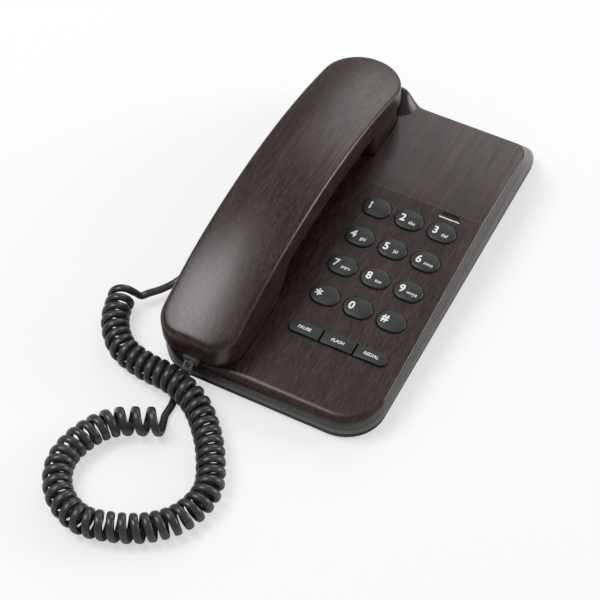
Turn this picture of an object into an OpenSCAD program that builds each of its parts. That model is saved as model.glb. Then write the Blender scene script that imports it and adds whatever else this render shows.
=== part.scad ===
// Slimline corded telephone: wedge base with a 12-key panel, arched handset in its cradle, curly cord.
// X runs to the keypad side, Y to the rear, Z up. The origin is under the middle of the base and
// handset, on the table.

/* [Base] */
// base width, side to side
body_w = 124; // [120:1:130]
// base length, front wall to rear wall
body_l = 220; // [217:1:222]
// height of the key panel's plane at the front wall
panel_front_z = 15.8; // [15:0.2:17.4]
// slope of the key panel, rising to the rear, in degrees
panel_tilt = 5.3; // [5:0.1:5.8]
// slope of the rear panel, falling to the rear, in degrees
rear_tilt = 0.6; // [0.2:0.2:1.4]
// length of the key panel in plan, from the front wall to the crease
key_panel_l = 140.5; // [138:0.5:143]
// plan radius of the two front corners
front_corner_r = 22; // [16:1:24]
// plan radius of the two rear corners
rear_corner_r = 7.5; // [6:0.5:9]
// height at which the upright foot of the rear wall starts to bend
rear_bend_z = 3.9; // [3.8:0.1:4.2]
// radius of the bend over the rear wall's foot
rear_bend_r = 13; // [11:1:14]
// lean of the rear wall towards the front, over its bend, in degrees
rear_lean = 41.7; // [38:0.1:43]
// radius of the roll-off at the front edge of the panel
front_roll_r = 7; // [5:0.5:9]
// wall thickness of the moulded shells
wall_t = 2.4; // [2:0.1:2.6]

/* [Side bands] */
// underside of the bottom shell above the table
foot_h = 1.2; // [0.8:0.1:1.8]
// thickness of the bottom shell's floor
floor_t = 2.4; // [2:0.1:3]
// height of the thin black groove line
groove_h = 0.8; // [0.5:0.1:1.2]
// top of the grey frame band at the front wall
band_front_z = 7.6; // [7:0.2:8.4]
// rise of the grey frame band to the rear, in degrees
band_tilt = 2.3; // [1.8:0.1:2.6]

/* [Keys] */
// distance of the middle key column from the base's right side
keys_from_side = 36.6; // [36:0.2:37.6]
// width of a dial key
key_w = 16.2; // [15:0.2:16.4]
// depth of a dial key, front to rear
key_d = 12; // [11:0.2:13]
// sideways pitch of the dial keys
key_pitch_x = 19; // [18.9:0.1:19.2]
// pitch of the key rows along the slope
key_pitch_s = 20.58; // [19.6:0.02:21]
// how far a key stands out of the panel
key_rise = 1.6; // [1.2:0.1:2.2]
// key travel when pressed
key_travel = 1.5; // [1:0.1:1.6]
// length of the capsule slot that holds the three function keys
func_total_w = 55.8; // [54:0.2:57]
// depth of a function key, front to rear
func_d = 7.4; // [6.6:0.2:8]

/* [Handset] */
// margin between the base's left side and the handset
handset_margin = 5.3; // [4.5:0.1:6]
// handset length
handset_l = 210; // [209:0.2:211]
// handset width
handset_w = 44.2; // [43:0.2:45]
// rim height above the cradle plane at the middle of the grip
rim_mid = 39.3; // [38.5:0.1:40]
// rim height above the cradle plane at both ends
rim_end = 20.1; // [19.7:0.1:20.9]
// thickness of the arched slab at its rim, at the middle of the grip
slab_t = 14; // [13:0.2:14.6]
// thickness of the arched slab at its rim, at both ends
slab_end_t = 11; // [10.8:0.1:11.6]
// plan radius of the corners at the mouth end
mouth_corner_r = 14; // [12:0.5:16]
// width of the flat at the tip of the ear end, between its two round corners
ear_flat = 1.2; // [0.4:0.2:4]
// crown of the handset's back over its rim
crown_h = 2.5; // [1.5:0.1:3]
// tilt of the resting handset, rear end higher, in degrees
handset_tilt = 3.8; // [3.6:0.05:3.9]
// turn of the resting handset, ear end towards the keys, in degrees
handset_yaw = 1.3; // [0:0.1:1.6]
// depth of the mouthpiece pocket in the panel
pocket_depth = 3.3; // [3:0.1:3.5]
// wall thickness of the handset shells
shell_t = 2.2; // [1.8:0.1:2.4]

/* [Curly cord] */
// outer diameter of the coil
coil_od = 15.2; // [14:0.2:15.6]
// width of the flat cord along the coil's axis
cord_w = 3.8; // [3.2:0.1:4]
// thickness of the flat cord
cord_t = 3; // [2.6:0.1:3.1]
// number of curls
curls = 52; // [46:1:53]

/* [Hidden] */
$fa = 6;
$fs = 0.8;

// fits
seat_gap = 0.3;
slide_gap = 0.35;
screw_gap = 0.05;

// base outline and panel planes
front_overhang = 2.7;
body_front = (front_overhang - body_l) / 2;
body_rear = body_front + body_l;
half_w = body_w / 2;
crease_y = body_front + key_panel_l;
floor_top = foot_h + floor_t;
groove_top = floor_top + groove_h;

function key_panel_z(y) = panel_front_z + (y - body_front) * tan(panel_tilt);
crease_z = key_panel_z(crease_y);
function rear_panel_z(y) = crease_z - (y - crease_y) * tan(rear_tilt);
function band_z(y) = band_front_z + (y - body_front) * tan(band_tilt);

// stack under the key panel, measured along its normal
flange_t = 1;
flange_rim = 1.2;
flange_top = -wall_t - seat_gap;
flange_bottom = flange_top - flange_t;
dome_top = flange_bottom - key_travel - 0.2;
mat_top = dome_top - 0.8;
mat_bottom = mat_top - 0.8;
board_t = 1.6;
board_bottom = mat_bottom - board_t;

// key places on the panel: x and the distance s along the slope from the front wall
key_mid_x = half_w - keys_from_side;
star_row_s = 64.6;
func_row_s = 41.4;
func_gap = 0.9;
func_w = (func_total_w - 2 * func_gap) / 3;
func_pitch = func_w + func_gap;

// handset frame: u along it, v across it, w up from the cradle plane
hs_half_l = handset_l / 2;
hs_half_w = handset_w / 2;
ear_corner_r = hs_half_w - ear_flat / 2;
hs_x = handset_margin + hs_half_w - half_w;
hs_y = body_front - front_overhang + hs_half_l * cos(handset_tilt) + (rim_end + crown_h) * sin(handset_tilt);
rest_y = body_front + 13.5;
hs_z = key_panel_z(rest_y) - pocket_depth - (rest_y - hs_y) * tan(handset_tilt);
split_up = 2;
mouth_front = -hs_half_l + 3.6;
mouth_inner = -70.4;
ear_inner = 54.2;
ear_rear = hs_half_l - 5.5;

function hs_point(u, v, w) =
    let (along = u * cos(handset_tilt) - w * sin(handset_tilt))
    [
        hs_x + v * cos(handset_yaw) + along * sin(handset_yaw),
        hs_y - v * sin(handset_yaw) + along * cos(handset_yaw),
        hs_z + u * sin(handset_tilt) + w * cos(handset_tilt)
    ];

// modular plugs and the handset's socket
plug_w = 7.6;
plug_h = 5.6;
jack_v = 0.5;
jack_h = 7.6;
jack_w = shell_t + 0.1 + jack_h / 2;
handset_plug_out = 4.8;

// base socket on the left wall
side_jack_y = body_front + 50.75;
side_jack_z = 8.6;
side_plug_out = 5;

// line socket in the rear wall
line_jack_x = 20;
line_jack_z = 11;
line_jack_w = 12.8;
line_jack_h = 11.8;

// hook plunger in the ear pocket
plunger_u = 82;
plunger_v = 0;
plunger_r = 2.9;
plunger_collar_r = 4.5;
plunger_l = 10.9;

// keypad mat and main board: each reaches past the middle key column on the left and stops short of
// the base's right side; the second values run along the panel from the front wall
mat_reach = 29;
mat_side_gap = 7.2;
mat_place = [key_mid_x - mat_reach, 34.8];
mat_size = [mat_reach + keys_from_side - mat_side_gap, 98.8];
board_reach = 31.4;
board_side_gap = 4;
board_place = [key_mid_x - board_reach, 25.4];
board_size = [board_reach + keys_from_side - board_side_gap, 116];
board_screw_places = [for (p = [
    [6, 4.6], [board_size[0] - 8, 4.6],
    [4, board_size[1] - 3.9], [board_size[0] - 4, board_size[1] - 3.9]
]) board_place + p];

// loose inner parts
plate_place = [8, body_front + 42.65];
plate_size = [34, 78, 2.6];
ringer_place = [28, body_rear - 51.35];
ringer_r = 13;
ringer_h = 5;
receiver_r = 15.5;
receiver_h = 3;
receiver_back_h = 5;
microphone_r = 4.8;
microphone_h = 5;
handset_weight_size = [24, 52, 4];

base_screw_places = [
    [half_w - 10, body_front + 20.65], [hs_x + 26.6, body_front + 14.65], [8 - half_w, body_front + 74.65],
    [half_w - 12, body_rear - 29.35], [hs_x + 29.6, body_rear - 31.35]
];
handset_screw_places = [[-82, 14], [-82, -14], [60.5, 15], [60.5, -15]];
foot_places = [
    [half_w - 16, body_front + 10.65], [16 - half_w, body_front + 10.65],
    [half_w - 13, body_rear - 14.35], [13 - half_w, body_rear - 14.35]
];
wall_hole_spacing = 83;
screw_pad_z = 8;

// curly cord: the coil's axis on the table, as hand-placed points about 18 mm apart
coil_route = [
    [-35.5, -143.9], [-56, -154.9], [-65.5, -169.9], [-67.5, -187.4], [-59, -202.9], [-43, -210.9],
    [-26, -207.9], [-10, -199.9], [1.5, -186.9], [5, -169.4], [-2, -152.9], [-12.5, -138.4],
    [-25.5, -126.9], [-42, -120.9], [-59.5, -117.9], [-76.5, -112.4], [-88.5, -99.4], [-94, -82.4]
];
coil_r = (coil_od - cord_t) / 2;
coil_rest_z = coil_od / 2 + 0.05;
lead_d = 3;
crossing_at = 12.85;
crossing_lift = lead_d + 0.5;
rings_per_curl = 8;
last_turn = 0.625;
turns = curls + last_turn;

// ---- outlines ----

function arc(cx, cy, r, a0, a1, n) =
    [for (i = [0:n]) [cx + r * cos(a0 + (a1 - a0) * i / n), cy + r * sin(a0 + (a1 - a0) * i / n)]];

// rounded rectangle with its own radii at the front and at the rear
function rounded_plan(x0, x1, y0, y1, rf, rr) = concat(
    arc(x1 - rf, y0 + rf, rf, -90, 0, 10),
    arc(x1 - rr, y1 - rr, rr, 0, 90, 8),
    arc(x0 + rr, y1 - rr, rr, 90, 180, 8),
    arc(x0 + rf, y0 + rf, rf, 180, 270, 10)
);

function base_plan(inset) = rounded_plan(
    -half_w + inset, half_w - inset, body_front + inset, body_rear - inset,
    front_corner_r - inset, rear_corner_r - inset
);

// end of the bend over the rear wall's foot, as (y, z); inset gives the inner face
function bend_end(inset) = [
    body_rear - rear_bend_r + (rear_bend_r - inset) * cos(rear_lean),
    rear_bend_z + (rear_bend_r - inset) * sin(rear_lean)
];

// where the leaning wall meets a line that stands at height z over the bend's end and rises to the rear
function on_rear_wall(inset, z, rise) =
    let (
        p = bend_end(inset),
        t = (z - p[1]) / (cos(rear_lean) + sin(rear_lean) * tan(rise))
    )
    p + t * [-sin(rear_lean), cos(rear_lean)];

// side profile of the cover from its front to the top of the rear wall, as points (y, z)
function cover_top(inset) =
    let (
        r = front_roll_r - inset,
        y0 = body_front + inset,
        drop = inset / cos(panel_tilt),
        z0 = panel_front_z + inset * tan(panel_tilt) - drop,
        zc = z0 + r * tan(panel_tilt) - r / cos(panel_tilt)
    )
    concat(
        arc(y0 + r, zc, r, 180, 90 + panel_tilt, 8),
        [[crease_y, crease_z - drop]],
        [on_rear_wall(inset, rear_panel_z(bend_end(inset)[0]) - drop, -rear_tilt)]
    );

// side profile of the whole base down to the table; inset makes the cavity's profile
function base_profile(inset) = concat(
    [[body_front + inset, 0]],
    cover_top(inset),
    arc(body_rear - rear_bend_r, rear_bend_z, rear_bend_r - inset, rear_lean, 0, 6),
    [[body_rear - inset, 0]]
);

// a stadium outline: straight sides and round ends
function stadium(w, d) = concat(arc(w / 2 - d / 2, 0, d / 2, -90, 90, 12), arc(d / 2 - w / 2, 0, d / 2, 90, 270, 12));

// a function key's outline: a round end on one side, small corners on the other
function end_key(w, d) = concat(
    arc(w / 2 - 0.6, 0.6 - d / 2, 0.6, -90, 0, 3), arc(w / 2 - 0.6, d / 2 - 0.6, 0.6, 0, 90, 3),
    arc(d / 2 - w / 2, 0, d / 2, 90, 270, 12)
);

module along_x(length) {
    rotate([90, 0, 90]) linear_extrude(height = length, center = true) children();
}

module on_panel() {
    translate([0, body_front, panel_front_z]) rotate([panel_tilt, 0, 0]) children();
}

module on_handset() {
    translate([hs_x, hs_y, hs_z]) rotate([handset_tilt, 0, -handset_yaw]) children();
}

// a block that follows the leaning rear wall, its corners rounded along the lean
module lean_block(inset) {
    translate([0, bend_end(inset)[0], bend_end(inset)[1]])
        rotate([rear_lean, 0, 0])
        translate([0, 0, -60])
        linear_extrude(height = 300)
        polygon(rounded_plan(-half_w + inset, half_w - inset, -300, 0, 1, rear_corner_r - inset));
}

// ---- handset forms, in the handset's own frame ----

function handset_plan(inset) = [for (p = rounded_plan(
    -hs_half_w + inset, hs_half_w - inset, -hs_half_l + inset, hs_half_l - inset,
    mouth_corner_r - inset, ear_corner_r - inset)) p];

// everything within 60 mm under an arch, which lies mid under the rim at the middle and end under it at
// both ends; crown bends its face across the handset
module under_arch(mid, end, crown, width) {
    half = width / 2;
    sag = rim_mid - mid - rim_end + end;
    r = (hs_half_l * hs_half_l + sag * sag) / (2 * sag);
    crown_r = crown > 0 ? (half * half + crown * crown) / (2 * crown) : 0;
    span = crown > 0 ? asin(half / crown_r) : 0;
    top = crown > 0
        ? arc(r + crown - crown_r, 0, crown_r, -span, span, 10)
        : [[r, -half], [r, half]];
    translate([0, 0, rim_mid - mid - r])
        rotate([0, -90, 0])
        rotate([0, 0, -23])
        rotate_extrude(angle = 46, $fn = 720)
        polygon(concat([[r - 60, half], [r - 60, -half]], top));
}

// mouth block's side towards the grip: a curve from its foot up to the grip's underside
mouth_foot = [mouth_inner, 0];
mouth_bend = [-52, 0];
mouth_top = [-38.5, 24.5];
function mouth_side(t) = (1 - t) * (1 - t) * mouth_foot + 2 * t * (1 - t) * mouth_bend + t * t * mouth_top;
function mouth_normal(t) =
    let (d = 2 * (1 - t) * (mouth_bend - mouth_foot) + 2 * t * (mouth_top - mouth_bend))
    [d[1], -d[0]] / norm(d);
function mouth_profile(grow, top) = concat(
    [[mouth_front - grow - 1, top], [mouth_front - grow - 1, -grow]],
    [for (i = [0:8]) mouth_side(i / 8) + grow * mouth_normal(i / 8)],
    [[mouth_top[0] + grow, top]]
);
function ear_profile(grow, top) = [
    [ear_inner - 0.4 - grow, top], [ear_inner + 0.4 - grow, -grow],
    [ear_rear + grow + 1, -grow], [ear_rear + grow + 1, top]
];
function mouth_plan(grow) = rounded_plan(
    -hs_half_w + 0.1 - grow, hs_half_w - 0.1 + grow, mouth_front - grow, -20, mouth_corner_r - 1 + grow, 1);
function ear_plan(grow) = rounded_plan(
    -hs_half_w + 0.1 - grow, hs_half_w - 0.1 + grow, 30, ear_rear + grow, 1, ear_corner_r - 1.5 + grow);

module mouth_block(grow, top) {
    intersection() {
        translate([0, 0, -10]) linear_extrude(height = 70) polygon(mouth_plan(grow));
        along_x(80) polygon(mouth_profile(grow, top));
    }
}

module ear_block(grow, top) {
    intersection() {
        translate([0, 0, -10]) linear_extrude(height = 70) polygon(ear_plan(grow));
        along_x(80) polygon(ear_profile(grow, top));
    }
}

module handset_prism(inset) {
    translate([0, 0, -5]) linear_extrude(height = 60) polygon(handset_plan(inset));
}

// ---- base ----

module bottom_shell() {
    color([0.16, 0.16, 0.17])
    difference() {
        union() {
            translate([0, 0, foot_h]) linear_extrude(height = floor_t) polygon(base_plan(0.4));
            difference() {
                translate([0, 0, floor_top - 0.5])
                    linear_extrude(height = 3)
                    polygon(base_plan(wall_t + seat_gap));
                linear_extrude(height = 20) polygon(base_plan(wall_t + seat_gap + 1.4));
                side_jack_opening(2);
                line_jack_opening(2);
            }
            for (p = base_screw_places)
                translate([p[0], p[1], foot_h]) cylinder(r = 5.2, h = screw_pad_z - foot_h);
        }
        for (p = base_screw_places)
            translate([p[0], p[1], 0]) {
                cylinder(r = 3.3, h = 5.6);
                cylinder(r = 1.9, h = 20);
            }
        for (p = foot_places)
            translate([p[0], p[1], 0]) cylinder(r = 6.1, h = foot_h + 0.8);
        for (side = [-1, 1])
            translate([0, side * wall_hole_spacing / 2, 0]) {
                cylinder(r = 4.6, h = 10);
                translate([-2.2, 0, 0]) cube([4.4, 10, 10]);
                translate([0, 10, 0]) cylinder(r = 2.2, h = 10);
            }
    }
}

module side_jack_opening(grow) {
    translate([-half_w - 2, side_jack_y - 6.2 - grow, side_jack_z - 4.6 - grow / 2])
        cube([wall_t + 3.5 + grow, 12.4 + 2 * grow, 9.2 + grow]);
}

// the line jack's face stands just inside the leaning wall at the height of its own top
line_jack_y = on_rear_wall(0, line_jack_z + line_jack_h / 2, 0)[0] - 0.2;
module line_jack_opening(grow) {
    translate([line_jack_x, line_jack_y - 4.5 - grow, line_jack_z])
        translate([-line_jack_w / 2 - 0.3 - grow, 0, -line_jack_h / 2 - 0.3 - grow])
        cube([line_jack_w + 0.6 + 2 * grow, 16 + grow, line_jack_h + 0.6 + 2 * grow]);
}

module middle_frame() {
    color([0.36, 0.36, 0.37])
    difference() {
        union() {
            translate([0, 0, floor_top]) linear_extrude(height = groove_h + 1) polygon(base_plan(1));
            intersection() {
                base_solid(0);
                along_x(200) polygon([
                    [body_front - 2, groove_top], [body_rear + 2, groove_top],
                    [body_rear + 2, band_z(body_rear + 2)], [body_front - 2, band_z(body_front - 2)]
                ]);
            }
        }
        base_solid(wall_t);
        side_jack_opening(0);
        line_jack_opening(0);
    }
}

// the whole base as one solid; inset makes its cavity, which is open to the table
module base_solid(inset) {
    intersection() {
        translate([0, 0, -1]) linear_extrude(height = 60) polygon(base_plan(inset));
        along_x(200) polygon(base_profile(inset));
        lean_block(inset);
    }
}

module over_band() {
    along_x(200) polygon([
        [body_front - 2, band_z(body_front - 2)], [body_rear + 2, band_z(body_rear + 2)],
        [body_rear + 2, 60], [body_front - 2, 60]
    ]);
}

// raised shoulder that wraps the rear of the ear pocket
hump_z = 39.5;
hump_foot_x = hs_x + 31.1;
hump_top_x = hs_x + 18.6;
hump_rear_y = body_rear - 15.5;
hump_front_y = hump_rear_y - 13.5;
hump_low = rear_panel_z(body_rear) - 6;
hump_foot = on_rear_wall(0, band_z(bend_end(0)[0]), band_tilt);
function smooth(t) = t * t * (3 - 2 * t);
module rear_hump() {
    intersection() {
        linear_extrude(height = 60) polygon(base_plan(0));
        translate([0, body_rear, 0]) rotate([90, 0, 0]) linear_extrude(height = 40) polygon(concat(
            [[-half_w - 1, 10], [hump_foot_x, 10]],
            [for (i = [0:10]) [
                hump_foot_x + (hump_top_x - hump_foot_x) * i / 10,
                rear_panel_z(body_rear) - 0.6 + (hump_z - rear_panel_z(body_rear) + 0.6) * smooth(i / 10)
            ]],
            [[-half_w - 1, hump_z]]
        ));
        along_x(200) polygon(concat(
            [hump_foot, [hump_rear_y, hump_z]],
            [for (i = [1:8]) [
                hump_rear_y + (hump_front_y - hump_rear_y) * i / 8,
                hump_z + (rear_panel_z(hump_front_y) - 0.4 - hump_z) * smooth(i / 8)
            ]],
            [[hump_front_y, hump_low]]
        ));
    }
}

module key_place(col, row) {
    on_panel() translate([key_mid_x + col * key_pitch_x, star_row_s + row * key_pitch_s, 0]) children();
}

module func_place(col) {
    on_panel() translate([key_mid_x + col * func_pitch, func_row_s, 0]) children();
}

module indicator_place() {
    on_panel() translate([key_mid_x + 18.8, 138.6, 0]) children();
}

module top_cover() {
    color([0.2, 0.15, 0.14])
    difference() {
        union() {
            difference() {
                intersection() {
                    base_solid(0);
                    over_band();
                }
                base_solid(wall_t);
            }
            rear_hump();
            intersection() {
                base_solid(0);
                over_band();
                union() {
                    on_handset() mouth_block(slide_gap + wall_t, 30);
                    on_handset() ear_block(slide_gap + wall_t, 30);
                }
            }
            intersection() {
                base_solid(0);
                union() {
                    for (p = base_screw_places)
                        translate([p[0], p[1], screw_pad_z]) cylinder(r = 4, h = 40);
                    on_panel()
                        for (p = board_screw_places)
                            translate([p[0], p[1], mat_bottom]) cylinder(r = 2.6, h = -mat_bottom - 1);
                }
            }
        }
        on_handset() mouth_block(slide_gap, 50);
        on_handset() ear_block(slide_gap, 50);
        on_handset() difference() {
            translate([0, 0, 0.5]) linear_extrude(height = 60) polygon(handset_plan(-0.6));
            under_arch(slab_t + slide_gap, slab_end_t + slide_gap, 0, 90);
        }
        for (col = [-1:1])
            for (row = [0:3])
                key_place(col, row)
                    translate([0, 0, -6])
                    linear_extrude(height = 12)
                    polygon(stadium(key_w + 2 * slide_gap, key_d + 2 * slide_gap));
        func_place(0)
            translate([0, 0, -6])
            linear_extrude(height = 12)
            polygon(stadium(func_total_w + 2 * slide_gap, func_d + 2 * slide_gap));
        indicator_place()
            translate([0, 0, -6])
            linear_extrude(height = 12)
            polygon(stadium(9.6, 2));
        for (p = base_screw_places)
            translate([p[0], p[1], 0]) cylinder(r = 1.25 + screw_gap, h = 13.4);
        on_panel()
            for (p = board_screw_places)
                translate([p[0], p[1], board_bottom]) cylinder(r = 1 + screw_gap, h = 7);
        on_handset()
            translate([plunger_v, plunger_u, -8])
            cylinder(r = plunger_r + slide_gap, h = 12);
        side_jack_opening(0);
        line_jack_opening(0);
    }
}

module keypad_mat() {
    color([0.55, 0.55, 0.57]) {
        on_panel()
            translate([mat_place[0], mat_place[1], mat_bottom])
            cube([mat_size[0], mat_size[1], mat_top - mat_bottom]);
        for (col = [-1:1])
            for (row = [0:3])
                key_place(col, row) translate([0, 0, mat_bottom]) cylinder(r = 4.4, h = dome_top - mat_bottom);
        for (col = [-1:1])
            func_place(col) translate([0, 0, mat_bottom]) cylinder(r = 3, h = dome_top - mat_bottom);
    }
}

module main_board() {
    color([0.16, 0.36, 0.22])
    on_panel()
        difference() {
            union() {
                translate([board_place[0], board_place[1], board_bottom])
                    cube([board_size[0], board_size[1], board_t]);
                translate([key_mid_x - 25.4, 50, board_bottom - 4]) cube([14, 9, 4.1]);
                translate([key_mid_x - 1.4, 74, board_bottom - 5]) cylinder(r = 4, h = 5.1);
                translate([key_mid_x + 8.6, 100, board_bottom - 3]) cube([16, 8, 3.1]);
            }
            for (p = board_screw_places)
                translate([p[0], p[1], board_bottom - 1]) cylinder(r = 1.3, h = 4);
        }
}

module board_screws() {
    color([0.62, 0.62, 0.64])
    on_panel()
        for (p = board_screw_places)
            translate([p[0], p[1], board_bottom - 1.4]) {
                cylinder(r = 2.2, h = 1.4);
                cylinder(r = 1, h = 6.4);
            }
}

module base_screws() {
    color([0.62, 0.62, 0.64])
    for (p = base_screw_places)
        translate([p[0], p[1], 3.6])
        difference() {
            union() {
                cylinder(r = 2.9, h = 2);
                cylinder(r = 1.25, h = 9.6);
            }
            translate([-2, -0.4, -0.1]) cube([4, 0.8, 0.9]);
            translate([-0.4, -2, -0.1]) cube([0.8, 4, 0.9]);
        }
}

module rubber_feet() {
    color([0.12, 0.12, 0.12])
    for (p = foot_places)
        translate([p[0], p[1], 0]) {
            cylinder(r1 = 5.4, r2 = 6, h = foot_h);
            translate([0, 0, foot_h - 0.01]) cylinder(r = 6, h = 0.81);
        }
}

module weight_plate() {
    color([0.55, 0.56, 0.58])
    translate([plate_place[0], plate_place[1], floor_top]) cube(plate_size);
}

module ringer() {
    color([0.15, 0.15, 0.16])
    translate([ringer_place[0], ringer_place[1], floor_top]) {
        cylinder(r = ringer_r, h = ringer_h);
        cylinder(r = ringer_r - 1.4, h = ringer_h + 1.4);
    }
}

plunger_foot = hs_point(plunger_u, plunger_v, -slide_gap - plunger_l);

module hook_switch() {
    top = plunger_foot[2] - plunger_collar_r * sin(handset_tilt) - seat_gap;
    color([0.1, 0.1, 0.11])
    translate([plunger_foot[0] - 7, plunger_foot[1] - 4, floor_top]) {
        cube([14, 8, top - floor_top - 1]);
        translate([2, 2, 0]) cube([10, 4, top - floor_top]);
    }
}

module hook_plunger() {
    color([0.85, 0.84, 0.8])
    on_handset()
        translate([plunger_v, plunger_u, -slide_gap - plunger_l]) {
            cylinder(r = plunger_r, h = plunger_l);
            cylinder(r = plunger_collar_r, h = 1.4);
        }
}

// a modular jack: a block with a socket that opens towards +X
module jack_block(length, width, height, socket_w, socket_h, socket_depth) {
    difference() {
        translate([-length, -width / 2, -height / 2]) cube([length, width, height]);
        translate([-socket_depth, -socket_w / 2, -socket_h / 2])
            cube([socket_depth + 1, socket_w, socket_h]);
        translate([-socket_depth, -1.8, -socket_h / 2 - 1.4]) cube([socket_depth + 1, 3.6, 1.6]);
    }
}

module line_jack() {
    color([0.1, 0.1, 0.1])
    translate([line_jack_x, line_jack_y, line_jack_z])
        rotate([0, 0, 90])
        jack_block(15, line_jack_w, line_jack_h, 9.9, 6.8, 12);
}

module base_jack() {
    color([0.1, 0.1, 0.1])
    translate([-half_w + 0.6, side_jack_y, side_jack_z])
        rotate([0, 0, 180])
        jack_block(14, 11.8, 8.6, plug_w + 0.6, plug_h + 0.6, 11);
}

module handset_jack() {
    color([0.1, 0.1, 0.1])
    on_handset()
        translate([jack_v, mouth_front + 0.6, jack_w])
        rotate([0, 0, -90])
        jack_block(13, 11.8, jack_h, plug_w + 0.6, plug_h + 0.6, 11);
}

module indicator_lens() {
    color([0.3, 0.05, 0.05])
    indicator_place() {
        translate([0, 0, -wall_t]) linear_extrude(height = wall_t - 0.4) polygon(stadium(9.2, 1.6));
        translate([0, 0, -wall_t - 1]) linear_extrude(height = 1) polygon(stadium(11, 3.4));
    }
}

// ---- keys ----

module key_cap(outline, flange, dome_r) {
    color([0.13, 0.13, 0.14]) {
        intersection() {
            translate([0, 0, flange_top - 0.01])
                linear_extrude(height = key_rise - flange_top + 0.01)
                polygon(outline);
            translate([0, 0, key_rise - dome_r]) sphere(r = dome_r, $fn = 160);
        }
        translate([0, 0, flange_bottom]) linear_extrude(height = flange_t) polygon(flange);
    }
}

module dial_key(col, row) {
    key_place(col, row)
        key_cap(stadium(key_w, key_d), stadium(key_w + 2 * flange_rim, key_d + 2 * flange_rim), 42);
}

module func_end_key(side) {
    func_place(side)
        rotate([0, 0, side > 0 ? 180 : 0])
        key_cap(end_key(func_w, func_d), end_key(func_w, func_d + 2), 60);
}

module key_1() { dial_key(-1, 3); }
module key_2() { dial_key(0, 3); }
module key_3() { dial_key(1, 3); }
module key_4() { dial_key(-1, 2); }
module key_5() { dial_key(0, 2); }
module key_6() { dial_key(1, 2); }
module key_7() { dial_key(-1, 1); }
module key_8() { dial_key(0, 1); }
module key_9() { dial_key(1, 1); }
module key_star() { dial_key(-1, 0); }
module key_0() { dial_key(0, 0); }
module key_hash() { dial_key(1, 0); }
module key_pause() { func_end_key(-1); }
module key_redial() { func_end_key(1); }
module key_flash() {
    func_place(0)
        key_cap(
            rounded_plan(-func_w / 2, func_w / 2, -func_d / 2, func_d / 2, 0.6, 0.6),
            rounded_plan(-func_w / 2, func_w / 2, -func_d / 2 - 1, func_d / 2 + 1, 0.6, 0.6),
            60
        );
}

// ---- handset ----

// below the seam between the two shells, which runs along the slab just over its underside
module under_split(width) {
    under_arch(slab_t - split_up, slab_end_t - split_up, 0, width);
}

module handset_boss(p) {
    translate([p[1], p[0], 0]) cylinder(r = 3.4, h = 40);
}

module handset_upper_shell() {
    color([0.2, 0.15, 0.14])
    on_handset()
        difference() {
            intersection() {
                handset_prism(0);
                under_arch(0, 0, crown_h, handset_w + 1);
            }
            under_split(90);
            difference() {
                intersection() {
                    handset_prism(shell_t);
                    under_arch(shell_t, shell_t, 0, handset_w + 1);
                }
                for (p = handset_screw_places) handset_boss(p);
            }
            for (p = handset_screw_places)
                translate([p[1], p[0], 0]) cylinder(r = 1.25 + screw_gap, h = 23.9);
        }
}

module handset_lower_shell() {
    color([0.18, 0.14, 0.13])
    on_handset()
        difference() {
            intersection() {
                union() {
                    difference() {
                        union() {
                            mouth_block(0, 36);
                            ear_block(0, 36);
                            difference() {
                                intersection() {
                                    handset_prism(0);
                                    under_split(handset_w + 1);
                                }
                                under_arch(slab_t, slab_end_t, 0, 90);
                            }
                        }
                        mouth_block(-shell_t, 50);
                        ear_block(-shell_t, 50);
                    }
                    for (p = handset_screw_places) handset_boss(p);
                }
                under_split(90);
            }
            for (p = handset_screw_places)
                translate([p[1], p[0], -1]) {
                    cylinder(r = 2.7, h = 4);
                    cylinder(r = 1.6, h = 50);
                }
            translate([receiver_v, receiver_u, -1]) cylinder(r = 1.1, h = 5);
            for (i = [0:5])
                translate([receiver_v, receiver_u, -1])
                    rotate([0, 0, i * 60])
                    translate([7, 0, 0])
                    cylinder(r = 1.1, h = 5);
            translate([0, microphone_u, -1]) cylinder(r = 1.1, h = 5);
            translate([jack_v - 6, mouth_front - 1, jack_w - jack_h / 2 - 0.1]) cube([12, 6, jack_h + 0.2]);
        }
}

receiver_u = 81;
receiver_v = 0;
microphone_u = -78;

module receiver() {
    color([0.2, 0.2, 0.22])
    on_handset()
        translate([receiver_v, receiver_u, shell_t]) {
            cylinder(r = receiver_r, h = receiver_h);
            translate([0, 0, receiver_h - 0.1]) cylinder(r = receiver_r - 3.5, h = receiver_back_h);
        }
}

module microphone() {
    color([0.2, 0.2, 0.22])
    on_handset() translate([0, microphone_u, shell_t]) cylinder(r = microphone_r, h = microphone_h);
}

module handset_weight() {
    color([0.55, 0.56, 0.58])
    on_handset()
        translate([-handset_weight_size[0] / 2, -handset_weight_size[1] / 2, rim_mid - slab_t + split_up + 0.1])
        cube(handset_weight_size);
}

module handset_screws() {
    color([0.62, 0.62, 0.64])
    on_handset()
        for (p = handset_screw_places)
            translate([p[1], p[0], 1]) {
                cylinder(r = 2.4, h = 2);
                cylinder(r = 1.25, h = 22.5);
            }
}

// ---- cord ----

// Catmull-Rom curve through the route, t counting its points
function curve_point(pts, t) =
    let (
        n = len(pts),
        i = max(0, min(floor(t), n - 2)),
        f = t - i,
        a = i > 0 ? pts[i - 1] : 2 * pts[0] - pts[1],
        b = pts[i],
        c = pts[i + 1],
        d = i + 2 < n ? pts[i + 2] : 2 * pts[n - 1] - pts[n - 2]
    )
    0.5 * (2 * b + (c - a) * f + (2 * a - 5 * b + 4 * c - d) * f * f + (3 * b - a - 3 * c + d) * f * f * f);
function curve_tangent(pts, t) =
    let (e = 0.02, n = len(pts), d = curve_point(pts, min(t + e, n - 1)) - curve_point(pts, max(t - e, 0)))
    d / norm(d);

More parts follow.
